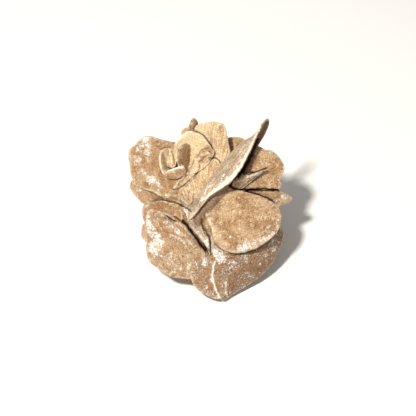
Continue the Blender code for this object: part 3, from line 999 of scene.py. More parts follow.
@dataclass
class BladeGroup:
    """A group of blades that grew together, each with its own seed."""

    first_seed: int = 1

    def laid_out(self) -> list[Blade]:
        """Gives the group's blades. Each group lays out its own."""
        raise NotImplementedError

    def shells(self) -> list[Shell]:
        """Builds every blade of the group.

        Returns:
            One shell for each blade.
        """
        built = []
        for k, blade in enumerate(self.laid_out()):
            if blade.seed == UNSEEDED:
                blade.seed = self.first_seed + SEED_STEP * k
            built.append(blade.shell())
        return built


@dataclass
class LeftFans(BladeGroup):
    """The broad brown fan at the upper left and the one that shows under it."""

    first_seed: int = 11
    thick: float = 4.0
    dish: float = -0.8

    def laid_out(self) -> list[Blade]:
        """Lays out the two left fans.

        Returns:
            One blade for each.
        """
        return [
            Blade.open(
                "big_left", -0.5, -4, 8,
                [(-29, 33.5), (-34, 29.5), (-37, 26.5), (-36.5, 20), (-35.5, 14.5),
                 (-32.5, 10.5), (-26, 7.8), (-21.5, 5.2), (-18.5, 2), (-12, 0), (-8, 1.5),
                 (-4, 5), (-2, 12), (-3, 22), (-9, 28.5), (-16, 30.5), (-22.5, 32)],
                thick=self.thick, dish=self.dish, tone=0.82, frost=0.12,
                frosted=(
                    (-29, 31.5, 1.8), (-31.2, 29, 1.4), (-27.8, 28.5, 1.3), (-28, 25.5, 1.3),
                    (-32.5, 27.5, 1.1), (-32.5, 22.5, 1.3), (-36, 24, 0.8), (-31, 18.2, 1.2),
                    (-29.5, 16, 1.1), (-28, 14.2, 1.2), (-26, 13.6, 1.5), (-24, 12.4, 1.1),
                    (-23.3, 11, 1.0), (-23.5, 8.3, 0.9), (-34, 20, 0.8), (-19, 6.6, 0.8),
                ),
            ),
            Blade.open(
                "under_left", -4.5, -14, 0,
                [(-34.5, 14), (-36.5, 11), (-35.5, 8), (-31.5, 3.5), (-28, 1.5), (-20, 0),
                 (-10, 4), (-12, 14), (-26, 18)],
                thick=self.thick, tone=0.82, frost=0.12, frosted=((-32.5, 8.6, 1.1),),
            ),
        ]


@dataclass
class UpperFans(BladeGroup):
    """The golden fans that spread upward from the middle, and the chips on their rims."""

    first_seed: int = 101
    thick: float = 4.0

    def laid_out(self) -> list[Blade]:
        """Lays out the upper fans, from the middle outward.

        Returns:
            One blade for each.
        """
        return [
            Blade.open(
                "top_fan", 1.2, -8, 8,
                [(-7.5, 35.5), (-5.5, 38.5), (-2, 39.5), (2.5, 39.5), (6.5, 38), (8, 33),
                 (8.5, 29), (9.5, 24), (9, 16), (4, 9), (-3, 8), (-8, 16), (-9, 27)],
                thick=self.thick, grain=Grain.FANNED, tone=1.05, scallop=0.55,
            ),
            Blade.open(
                "middle_fan", 4.2, -4, 4,
                [(-2.5, 22), (-0.5, 23.2), (2.6, 22.8), (5, 19.5), (4, 13), (-0.5, 5),
                 (-6, 0.5), (-11, 2.5), (-14.5, 7.5), (-11, 11.5), (-8, 15), (-5.5, 19)],
                thick=3.0, dish=-0.6, grain=Grain.FANNED, tone=1.03,
            ),
            Blade.open(
                "back_fan", -5.0, 5, 12,
                [(6, 31.5), (8.5, 32.8), (12, 33), (15.5, 32), (20, 27), (20, 16),
                 (12, 2), (3, 2), (0, 12), (3, 24)],
                thick=3.8, tone=0.85,
            ),
            Blade.open(
                "right_fan", 0.2, 5, 0,
                [(19, 29), (22, 28.5), (25, 27), (28, 26.5), (32, 22.5), (33.5, 18.5),
                 (32, 14), (31.8, 9.5), (25, 8.8), (17, 8.8), (8, 6), (4, 14), (12, 27)],
                thick=self.thick, tone=0.96,
            ),
            Blade.open(
                "top_tooth", -3.5, 30, 6,
                [(-7.8, 41.4), (-5.6, 39.2), (-6.5, 34), (-7, 28), (-9.5, 28), (-9.6, 35),
                 (-9.3, 38.6)],
                thick=2.6, mesh_step=0.7, tone=0.62,
            ),
            Blade.open(
                "top_chip", 0.6, -14, 14,
                [(-13, 34.8), (-11.6, 36.6), (-9.2, 37), (-7, 34.5), (-7.5, 27),
                 (-12.5, 27), (-13, 32)],
                thick=2.6, mesh_step=0.7,
            ),
        ]


@dataclass
class Rosette(BladeGroup):
    """The small rose of cupped blades that grew on the left fan."""

    first_seed: int = 201
    shell_dish: float = 1.0
    petal: float = 1.6

    def laid_out(self) -> list[Blade]:
        """Lays out the cupped blades, the widest first.

        Returns:
            One blade for each.
        """
        return [
            Blade.open(
                "rosette_shell", 2.6, -5, 6,
                [(-15.4, 30.2), (-12.6, 33.2), (-10.4, 34.7), (-8, 35.1), (-4.6, 34),
                 (-1.8, 31.6), (0.2, 28.8), (1.2, 26), (-0.6, 20), (-8, 15.5), (-14, 17),
                 (-16.6, 24)],
                thick=2.8, dish=self.shell_dish, mesh_step=0.65, tone=1.08, edge=0.7,
            ),
            Blade.on_edge(
                "rosette_fin", (-11.5, 23, 5.4), 38, 0, 74,
                [(6.7, 0.7), (4.3, 3.2), (0.9, 4), (-2.9, 3.7), (-6.7, -0.5), (-5.2, -2.9),
                 (-0.9, -4.1), (3, -4), (5.9, -2.4)],
                thick=1.8, mesh_step=0.6, tone=0.62, edge=0.7,
            ),
            Blade.on_edge(
                "rosette_cup", (-20.5, 21, 3.8), 50, 4, 100,
                [(6, 0), (4, 3.5), (-1, 4.5), (-5, 3), (-6.5, -1), (-4, -5), (3, -5)],
                # a tone over 1 paints light into the shaded cup, for the light bounced inside it
                thick=self.petal, dish=1.0, mesh_step=0.6, tone=1.2, edge=0.7,
            ),
            Blade.on_edge(
                "rosette_strip", (-17.2, 24.4, 4.3), -30, 0, 78,
                [(3.6, 0), (2, 1.6), (-3.5, 2), (-6, 0.5), (-5, -3), (2.5, -3)],
                thick=1.4, mesh_step=0.6, tone=1.05, edge=0.7,
            ),
            Blade.on_edge(
                "rosette_lip", (-15.6, 17.0, 5.5), -5, -42, 22,
                [(4.6, 1.4), (0, 2), (-4.8, 1.3), (-5.4, -1), (-2.6, -3.6), (3, -3.8),
                 (5, -1)],
                thick=self.petal, mesh_step=0.6, tone=0.96, edge=0.7,
            ),
            Blade.open(
                "rosette_ear", 4.6, -10, 6,
                [(-6.8, 23.5), (-5, 26.6), (-3, 28.6), (-0.6, 29.2), (1.2, 27.6),
                 (2, 25.4), (0.4, 22.4), (-2, 20.5), (-5.2, 19.8)],
                thick=2.0, mesh_step=0.6, tone=0.98, edge=0.7,
            ),
            Blade.open(
                "step_blade", 3.4, -12, 8,
                [(-5.5, 23), (-4, 22), (-5, 18), (-8, 14), (-14, 9.5), (-16.5, 10),
                 (-12, 16)],
                thick=2.2, mesh_step=0.6, edge=0.7,
            ),
        ]


@dataclass
class BigFin(BladeGroup):
    """The long grey fin that stands on edge across the open face."""

    first_seed: int = 301
    thick: float = 3.0

    def laid_out(self) -> list[Blade]:
        """Lays out the fin and the dark flank that it leans on near its tip.

        Returns:
            One blade for each.
        """
        return [
            Blade.on_edge(
                "big_fin", (8.25, 17.75, 8.6), -41, 26, 62,
                [(28.4, 0.1), (21, -0.2), (17.5, -1.7), (13, -3.2), (9, -4.3), (5, -5.7),
                 (0, -6.2), (-4, -5.7), (-10.5, -2.6), (-15, -0.3), (-26.5, 0.4),
                 (-28, 2.5), (-21, 8), (-14, 9.5), (-4, 7.8), (7, 5.6), (13.5, 4),
                 (18, 2), (22, 1.2), (26, 1.2)],
                thick=self.thick, dish=-0.5, mesh_step=0.65, grain=Grain.LENGTHWISE,
                grey=0.6, frost=0.1, edge=0.75,
                frosted=(
                    (19.8, 31, 1.1), (18.5, 28.5, 1.2), (16.5, 25, 1.2), (14.5, 21.5, 1.2),
                    (13, 18.5, 1.2), (10.5, 15, 1.2), (8, 13, 1.1), (5.5, 11, 1.1),
                    (3, 9, 1.1), (0.8, 7.2, 1.0), (-1.2, 5.6, 0.8), (1, 11, 0.8),
                    (-0.5, 9.5, 0.8), (-2.2, 7.4, 0.7), (-3.4, 5.5, 0.6), (6, 14.6, 0.8),
                    (5, 12.8, 0.7),
                ),
            ),
            Blade.open(
                "fin_flank", 6.6, 39, -25,
                [(25.6, 40.4), (26.3, 38), (24.6, 34), (22.4, 30), (18.5, 24), (13, 17),
                 (10, 15), (13, 22), (18, 30), (22, 36.5)],
                # the low tone paints the flank's shade, darker than its sand
                thick=2.4, mesh_step=0.7, tone=0.4, grey=0.15,
            ),
        ]


@dataclass
class RightBlades(BladeGroup):
    """The round blade at the right and the thin ones wedged round it."""

    first_seed: int = 401
    round_thick: float = 4.4
    round_dish: float = -0.6

    def laid_out(self) -> list[Blade]:
        """Lays out the round blade, then the thin blades from right to left.

        Returns:
            One blade for each.
        """
        return [
            Blade.open(
                "right_round", 3.6, -1, 4,
                [(8.5, 10.6), (13, 8.7), (18.5, 7.3), (24.5, 5.2), (30.5, 1.5), (32, -3),
                 (31, -8.5), (28, -12.5), (21.5, -17), (13.5, -19.5), (7, -18.6),
                 (2, -14.6), (0.6, -9), (-0.6, -4), (0.6, 1), (4, 6)],
                thick=self.round_thick, dish=self.round_dish, tone=0.93, frost=0.16,
                frosted=(
                    (14, -17.3, 1.5), (16.5, -16, 1.5), (19.5, -15.2, 1.4), (22, -13.8, 1.1),
                    (24.5, -13.4, 1.3), (26.8, -12.2, 1.3), (28.3, -11.2, 1.1),
                    (28.6, -4, 0.8), (31, -4.8, 0.9), (9, -12.5, 1.0), (10.5, -18.6, 0.9),
                    (26.5, -8, 0.8),
                ),
            ),
            Blade.open(
                "tongue", 4.0, 5, -25,
                [(25.2, 18.4), (19, 16.6), (14, 16.2), (10, 13), (9, 10.8), (12.6, 8.8),
                 (17.2, 11.6), (22.3, 15.8)],
                thick=2.0, mesh_step=0.6, grain=Grain.LENGTHWISE, tone=0.86, grey=0.4,
            ),
            Blade.open(
                "right_strip", -2.0, 4, 6,
                [(10, 12), (18.5, 13), (26, 12.5), (30.5, 9.8), (32.2, 5), (31, 0.5),
                 (22, -4), (10, 0)],
                thick=3.2, tone=0.8,
            ),
            Blade.open(
                "right_nub", -4.4, 20, 6,
                [(28, 7.6), (33, 8), (35.3, 6.8), (37.7, 5), (35.7, 3.1), (32.8, 2),
                 (27, 2.5)],
                thick=3.4, mesh_step=0.65, grey=0.35, frost=0.3,
                frosted=((33.5, 5.5, 1.3), (31, 3, 0.8)),
            ),
            Blade.open(
                "inner_strip", 0.3, -20, 0,
                [(-4, 3.5), (1, 4), (5, 1), (5, -8), (5, -14), (1, -19), (-1.5, -16),
                 (-4, -9), (-6, -1)],
                thick=2.4, tone=0.82, mesh_step=0.6,
            ),
            Blade.open(
                "inner_ledge", 2.6, -8, -4,
                [(-12.5, 0), (-9, 3), (-5, 1.5), (-3.8, -4.4), (-3.2, -8.5), (-0.5, -12.6),
                 (-0.1, -16), (0.1, -21), (-1, -18.6), (-2.4, -15.6), (-4.5, -13.4),
                 (-7.6, -9.6), (-10.4, -6)],
                thick=2.6, mesh_step=0.65, tone=0.9, grey=0.35, frost=0.66,
            ),
            Blade.open(
                "fin_root", 3.0, 28, -18,
                [(-9, -4.5), (-6, 0), (-1, 6), (5, 11.5), (10, 15), (12, 12.5), (8.6, 7),
                 (5, 2), (1, -3), (-3, -7), (-6.5, -8)],
                thick=2.6, mesh_step=0.65, tone=0.66, grey=0.3,
            ),
        ]


@dataclass
class LeftBlades(BladeGroup):
    """The frosted blade at the lower left, the ledge over it and the sliver beside it."""

    first_seed: int = 501
    big_thick: float = 4.6
    big_dish: float = -1.4

    def laid_out(self) -> list[Blade]:
        """Lays out the lower left blades, from the top down.

        Returns:
            One blade for each.
        """
        return [
            Blade.open(
                "left_ledge", 0.8, -8, -10,
                [(-30.5, 0.5), (-29, 2.5), (-24.5, 4), (-20.5, 4), (-15, 2.5),
                 (-10.5, 0.5), (-8, -2.5), (-9, -9), (-16, -13), (-25, -10), (-30, -5)],
                thick=3.4, tone=0.72, frost=0.1,
                frosted=((-24, -2.4, 0.8), (-27.5, -1.5, 1.0)),
            ),
            Blade.open(
                "ledge_lobe", 2.6, -10, 0,
                [(-16.5, -2.5), (-16, -0.5), (-14, 0), (-12.5, -1), (-12.5, -5),
                 (-14, -8), (-17, -6)],
                thick=2.0, mesh_step=0.6,
            ),
            Blade.open(
                "big_lower_left", 2.5, -10, -12,
                [(-27, 0), (-22, -1.5), (-17.5, -4.8), (-13, -6.3), (-10.8, -7.4),
                 (-8, -11.2), (-5, -15.8), (-2.2, -19.8), (-3.5, -24), (-5, -28),
                 (-8.5, -31.5), (-12.5, -31.5), (-18.5, -30.5), (-23, -27.5), (-27.5, -24),
                 (-29, -19), (-28.5, -12), (-29, -4)],
                thick=self.big_thick, dish=self.big_dish, tone=0.87, frost=0.36,
                frosted=(
                    (-27.6, -3, 1.3), (-28, -6, 1.6), (-26.4, -7.6, 1.6), (-27.8, -10, 1.4),
                    (-25.5, -11, 1.5), (-23.6, -12.6, 1.8), (-23, -15, 1.8),
                    (-25.4, -15.8, 1.7), (-26.5, -18.2, 1.5), (-24, -18.6, 1.6),
                    (-23.4, -20.4, 1.2), (-21.8, -20.8, 1.0), (-25.5, -21.3, 0.9),
                    (-20.2, -5.4, 1.0), (-18, -6.6, 1.2), (-16.4, -8, 1.1),
                    (-14.2, -9.8, 1.2), (-18.2, -11.8, 0.9), (-14.5, -12.6, 0.9),
                    (-11.5, -11.2, 0.8), (-9, -15.4, 0.9), (-17.5, -19.2, 0.9),
                    (-19, -25, 0.9), (-17.6, -28.5, 1.1), (-13.5, -27, 0.8),
                    (-27, -22.6, 0.9), (-10, -14, 0.7), (-3.6, -21, 0.9),
                ),
            ),
            Blade.open(
                "left_sliver", -6.0, -30, -5,
                [(-29.5, -6), (-30.9, -8.5), (-31.1, -12), (-29.8, -14), (-24, -17.5),
                 (-14, -12), (-20, -3)],
                thick=3.0, tone=0.9, frost=0.2,
            ),
        ]


@dataclass
class BottomBlades(BladeGroup):
    """The two blades that meet in a frosted ridge at the bottom."""

    first_seed: int = 601
    lobe_thick: float = 3.6
    big_thick: float = 5.0

    def laid_out(self) -> list[Blade]:
        """Lays out the lobe and the big shaded blade behind it.

        Returns:
            One blade for each.
        """
        return [
            Blade.open(
                "bottom_lobe", 0.7, 12, -6,
                [(-9, -23.6), (-10, -26.5), (-9, -30), (-7.5, -34), (-5, -36.5), (-1, -39),
                 (3.5, -40.6), (7, -38), (6.5, -30), (6, -23), (2, -18.5), (-4, -20)],
                thick=self.lobe_thick, mesh_step=0.7, tone=0.72, grey=0.05, frost=0.42,
                frosted=(
                    (-2, -22, 1.2), (-2.2, -24.4, 1.7), (-9, -24.8, 1.1), (-10, -26.6, 0.8),
                    (0.5, -29.5, 1.0), (-2, -35, 1.1), (-3, -37, 1.0), (-7, -25.2, 0.7),
                    (1, -32.2, 1.0), (2.6, -36, 1.0), (1.6, -27, 1.1), (3.4, -38.6, 0.9),
                    (-3, -31, 0.8), (4, -40, 0.9),
                ),
            ),
            Blade.open(
                "frosted_step", 0.8, 6, -6,
                [(0.4, -12), (0.1, -16), (0.4, -20), (1, -24), (3, -27.5), (7.5, -26),
                 (10, -21), (8.5, -16), (4, -12)],
                thick=3.0, tone=0.8, grey=0.2, frost=0.5,
                frosted=((4, -21.8, 3.2), (2.4, -19, 2.2), (5.6, -23, 2.4), (2, -25, 1.8)),
            ),
            Blade.open(
                "big_bottom_right", -2.7, 20, -13,
                [(30, -6.5), (33, -9), (34, -13.5), (31, -20.5), (28, -26), (23, -31),
                 (17, -35), (10, -39.2), (6.4, -41.6), (3.6, -39), (2, -33.5),
                 (1.2, -30.5), (1.6, -26.5), (3, -22), (6, -17), (13, -13), (22, -8)],
                thick=self.big_thick, dish=-1.0, tone=0.6, grey=0.12, frost=0.44,
                frosted=(
                    (4, -21.8, 2.2), (2.4, -19, 1.4), (5.6, -23, 1.5), (2, -25.5, 1.3),
                    (7, -28.3, 0.9), (7.6, -34, 0.8), (7.2, -37.6, 0.8), (13, -20.6, 0.8),
                    (11.5, -24.6, 0.7), (16, -23.6, 0.9), (16.5, -28.5, 0.8),
                    (28.8, -18.2, 1.4), (29.6, -16.4, 0.9), (22.5, -25, 1.0),
                    (25.5, -21, 1.0), (18, -30, 1.0), (12.5, -34, 0.9), (9, -36, 0.7),
                ),
            ),
        ]


@dataclass
class HiddenSide(BladeGroup):
    """The plainer blades behind the open face, crossing like those in front."""

    first_seed: int = 701

    def laid_out(self) -> list[Blade]:
        """Lays out the blades behind, as clock, back, roll, flare, reach, length, width.

        Returns:
            One blade for each.
        """
        sizes = {
            "back_high": (92, 28, 25, 0, 34, 36, 40),
            "back_high_left": (128, 42, -38, 0, 35, 36, 34),
            "back_high_right": (52, 44, 55, 0, 34, 36, 36),
            "back_left": (165, 34, 60, 0, 31, 33, 32),
            "back_right": (12, 32, -50, 0, 34, 34, 36),
            "back_low": (92, 68, -15, 0, 33, 34, 40),
            "back_low_left": (172, 58, 25, 0, 32, 34, 36),
            "back_low_right": (8, 62, -30, 0, 32, 34, 38),
            "side_left": (205, 22, -20, 0, 31, 32, 30),
            "side_right": (-28, 25, 35, 0, 34, 34, 32),
            "back_cross_left": (142, 66, 70, 0, 31, 32, 30),
            "back_cross_right": (55, 70, 85, 0, 31, 32, 32),
            "crown_left": (120, 9, 22, 0, 32, 30, 28),
            "crown_middle": (92, 12, -10, 0, 33, 30, 32),
            "crown_right": (62, 10, -26, 0, 32, 30, 28),
            "shelf_left": (172, 8, 18, 0, 29, 28, 28),
            "shelf_right": (14, 10, -16, 0, 31, 28, 28),
            "bottom_root": (-62, 0, 80, 0, 31, 32, 24),
            "petal_high": (95, 36, 6, 52, 30, 28, 32),
            "petal_high_left": (136, 50, -8, -48, 30, 28, 28),
            "petal_high_right": (40, 46, 10, 50, 30, 28, 28),
            "petal_left": (180, 46, 12, 44, 29, 28, 28),
            "petal_right": (-4, 46, -12, -46, 30, 28, 30),
            "petal_low": (84, 88, 4, 42, 30, 28, 34),
        }
        return [Blade.behind(name, *size) for name, size in sizes.items()]


@dataclass
class PackedHeart:
    """The packed sand and small crystals between the blades.

    Attributes:
        centre: Its middle in the face frame.
        radii: Its half sizes.
        name: What its shell is called.
        splits: How often its ball is divided.
        seed: Whole number that picks its roughness.
        lump: Height of its lumps, as a share of its size.
        tone: Lightness of its sand.
    """

    centre: tuple[float, float, float]
    radii: tuple[float, float, float]
    name: str
    splits: int = 5
    seed: int = 801
    lump: float = 0.06
    tone: float = 0.85

    def shell(self) -> Shell:
        """Builds a lumpy closed ball with a rough broken surface.

        Returns:
            The ball's shell.
        """
        bm = bmesh.new()
        bmesh.ops.create_icosphere(bm, subdivisions=self.splits, radius=1.0)
        ball = np.array([tuple(v.co) for v in bm.verts])
        faces = [tuple(v.index for v in face.verts) for face in bm.faces]
        bm.free()
        points = ball * np.array(self.radii)
        rough = layered_noise(points, BROKEN_LAYERS, self.seed)
        lumps = 1 + self.lump * np.sin(5 * ball[:, 0] + 1) * np.cos(4 * ball[:, 1])
        points = points * lumps[:, None] + ball * rough[:, None] + np.array(self.centre)
        marks = MARKS.at(points) * (ball[:, 2:] > 0)
        look = np.zeros((len(points), 5))
        look[:, RIM] = marks[:, PALE]
        look[:, FROST] = MARK_WHITE * marks[:, WHITE]
        look[:, TONE] = self.tone
        # painted shade in the cracks
        look[:, CRACK_SHADE] = marks[:, DARK]
        return Shell(self.name, points, faces, look, np.zeros((len(points), 3)))


@dataclass
class JoinedRose:
    """All the shells grown into one body, cut flat where it rests.

    Attributes:
        shells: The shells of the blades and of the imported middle.
        ground_size: Size of the block that the rose is cut with, in millimetres.
        on_ground: Height in millimetres under which a vertex is on the resting plane.
        crease_gap: How far a crease's vertices are from every shell's, in millimetres.
        crease_pull: How much each round softens a crease.
        beside_pull: How much it softens the vertices beside one.
        crease_rounds: How often the creases are softened.
        sharp_angle: Degrees from which an edge is drawn sharp.
    """

    shells: list[Shell]
    ground_size: float = 200.0
    on_ground: float = 0.02
    crease_gap: float = 0.01
    crease_pull: float = 0.6
    beside_pull: float = 0.3
    crease_rounds: int = 3
    sharp_angle: float = 60.0

    def ground(self) -> bpy.types.Object:
        """Makes the block under the resting plane.

        Returns:
            The block, in the scene.
        """
        bm = bmesh.new()
        size = self.ground_size * MM
        bmesh.ops.create_cube(bm, size=size, matrix=Matrix.Translation((0, 0, -size / 2)))
        mesh = bpy.data.meshes.new("ground")
        bm.to_mesh(mesh)
        bm.free()
        ground = bpy.data.objects.new("ground", mesh)
        bpy.context.scene.collection.objects.link(ground)
        return ground

    def union(self, placing: Matrix) -> bpy.types.Mesh:
        """Joins the shells and cuts the result at the resting plane.

        Args:
            placing: Placing of the face frame in the part's frame.

        Returns:
            One mesh in metres, with closed pockets still in it.
        """
        parts = bpy.data.collections.new("rose_parts")
        bpy.context.scene.collection.children.link(parts)
        base, *others = [shell.to_object(placing) for shell in self.shells]
        for obj in others:
            bpy.context.scene.collection.objects.unlink(obj)
            parts.objects.link(obj)
        ground = self.ground()
        join = base.modifiers.new("join", "BOOLEAN")
        join.operation = "UNION"
        join.operand_type = "COLLECTION"
        join.collection = parts
        join.solver = "MANIFOLD"
        cut = base.modifiers.new("cut", "BOOLEAN")
        cut.operation = "DIFFERENCE"
        cut.object = ground
        cut.solver = "MANIFOLD"
        bpy.context.view_layer.update()
        evaluated = base.evaluated_get(bpy.context.evaluated_depsgraph_get())
        mesh = bpy.data.meshes.new_from_object(evaluated)
        for obj in [base, *others, ground]:
            bpy.data.objects.remove(obj, do_unlink=True)
        bpy.data.collections.remove(parts)
        return mesh

    def outer_skin(self, mesh: bpy.types.Mesh) -> None:
        """Removes the skins of closed pockets and splits the faces into triangles.

        Args:
            mesh: The joined mesh, which is changed.
        """
        bm = bmesh.new()
        bm.from_mesh(mesh)
        bmesh.ops.triangulate(bm, faces=bm.faces)
        skins, left = [], set(bm.faces)
        while left:
            todo = [left.pop()]
            skin = list(todo)
            while todo:
                face = todo.pop()
                for edge in face.edges:
                    for other in edge.link_faces:
                        if other in left:
                            left.discard(other)
                            todo.append(other)
                            skin.append(other)
            skins.append(skin)
        skins.sort(key=len)
        inner = [face for skin in skins[:-1] for face in skin]
        bmesh.ops.delete(bm, geom=inner, context="FACES")
        bm.to_mesh(mesh)
        bm.free()

    def dress(self, mesh: bpy.types.Mesh, placing: Matrix) -> None:
        """Carries each shell's look to the joined mesh and softens the creases.

        Args:
            mesh: The joined mesh, in metres in the part's frame.
            placing: Placing of the face frame in the part's frame.
        """
        source = np.vstack([shell.points for shell in self.shells])
        tree = kdtree.KDTree(len(source))
        for k, point in enumerate(source):
            tree.insert(point, k)
        tree.balance()
        back = placing.inverted()
        places = np.array([tuple(back @ v.co) for v in mesh.vertices])
        nearest, away = np.zeros(len(places), int), np.zeros(len(places))
        for k, point in enumerate(places):
            _, nearest[k], away[k] = tree.find(point)
        fixed = np.array([v.co.z < self.on_ground * MM for v in mesh.vertices])
        edges = np.array([tuple(e.vertices) for e in mesh.edges])
        places = self.softened(places, edges, (away > self.crease_gap) & ~fixed, fixed)
        moved = np.c_[places, np.ones(len(places))] @ np.array(placing).T
        moved[fixed, 2] = 0.0
        mesh.vertices.foreach_set("co", moved[:, :3].astype(np.float32).ravel())
        look = np.vstack([shell.look for shell in self.shells])[nearest]
        lie = np.vstack([shell.lie for shell in self.shells])[nearest]
        # the last look column is the painted crack shade, carried as its own attribute
        for name, kind, key, values in (
            ("look", "FLOAT_COLOR", "color", look[:, :CRACK_SHADE]),
            ("painted_crack_shade", "FLOAT", "value", look[:, CRACK_SHADE]),
            ("lie", "FLOAT_VECTOR", "vector", lie),
        ):
            layer = mesh.attributes.new(name, kind, "POINT")
            layer.data.foreach_set(key, values.astype(np.float32).ravel())

    def softened(
        self, places: np.ndarray, edges: np.ndarray, crease: np.ndarray, fixed: np.ndarray
    ) -> np.ndarray:
        """Rounds the creases where blades cross, as packed sand does.

        Args:
            places: The mesh's vertices in the face frame.
            edges: The two vertex numbers of each edge.
            crease: Which vertices are on a crease.
            fixed: Which vertices stay where they are.

        Returns:
            The vertices' new places.
        """
        near = crease.astype(float)
        beside = np.zeros(len(places))
        np.maximum.at(beside, edges[:, 0], near[edges[:, 1]])
        np.maximum.at(beside, edges[:, 1], near[edges[:, 0]])
        weight = np.maximum(self.crease_pull * near, self.beside_pull * beside)
        weight[fixed] = 0.0
        count = np.bincount(edges.ravel(), minlength=len(places))[:, None]
        for _ in range(self.crease_rounds):
            total = np.zeros_like(places)
            np.add.at(total, edges[:, 0], places[edges[:, 1]])
            np.add.at(total, edges[:, 1], places[edges[:, 0]])
            average = total / np.maximum(count, 1)
            places = places + weight[:, None] * (average - places)
        return places

    def build(self) -> bpy.types.Object:
        """Builds the rose as one object.

        Returns:
            The object, in the scene and with its material.
        """
        placing = face_to_world()
        mesh = self.union(placing)
        self.outer_skin(mesh)
        self.dress(mesh, placing)
        mesh.name = PIECE
        mesh.shade_smooth()
        mesh.set_sharp_from_angle(angle=math.radians(self.sharp_angle))
        mesh.materials.clear()
        mesh.materials.append(SandyGypsum().material())
        rose = bpy.data.objects.new(PIECE, mesh)
        bpy.context.scene.collection.objects.link(rose)
        return rose


def linear(hex_colour: str) -> tuple[float, float, float, float]:
    """Turns an sRGB hex colour into the linear numbers that Blender works in.

    Args:
        hex_colour: A number sign and six hex digits.

    Returns:
        Linear red, green and blue, and an alpha of 1.
    """
    parts = [int(hex_colour[k : k + 2], 16) / 255 for k in (1, 3, 5)]
    turned = [c / 12.92 if c <= 0.04045 else ((c + 0.055) / 1.055) ** 2.4 for c in parts]
    return (*turned, 1.0)


def add_node(
    tree: bpy.types.NodeTree,
    kind: str,
    settings: dict[str, Any] | None = None,
    inputs: dict[str | int, Any] | None = None,
) -> bpy.types.Node:
    """Adds a node to a tree.

    Args:
        tree: The material's node tree.
        kind: Blender's type name of the node.
        settings: Properties to set on the node.
        inputs: For each input, by name or number, a value or the socket that feeds it.

    Returns:
        The new node.
    """
    node = tree.nodes.new(kind)
    for name, value in (settings or {}).items():
        setattr(node, name, value)
    for name, value in (inputs or {}).items():
        if isinstance(value, bpy.types.NodeSocket):
            tree.links.new(value, node.inputs[name])
        else:
            node.inputs[name].default_value = value
    return node


def per_metre(size_mm: float) -> float:
    """Gives the texture scale whose features are about that many millimetres apart."""
    return 1.0 / (size_mm * MM)


Sockets = dict[str, bpy.types.NodeSocket]


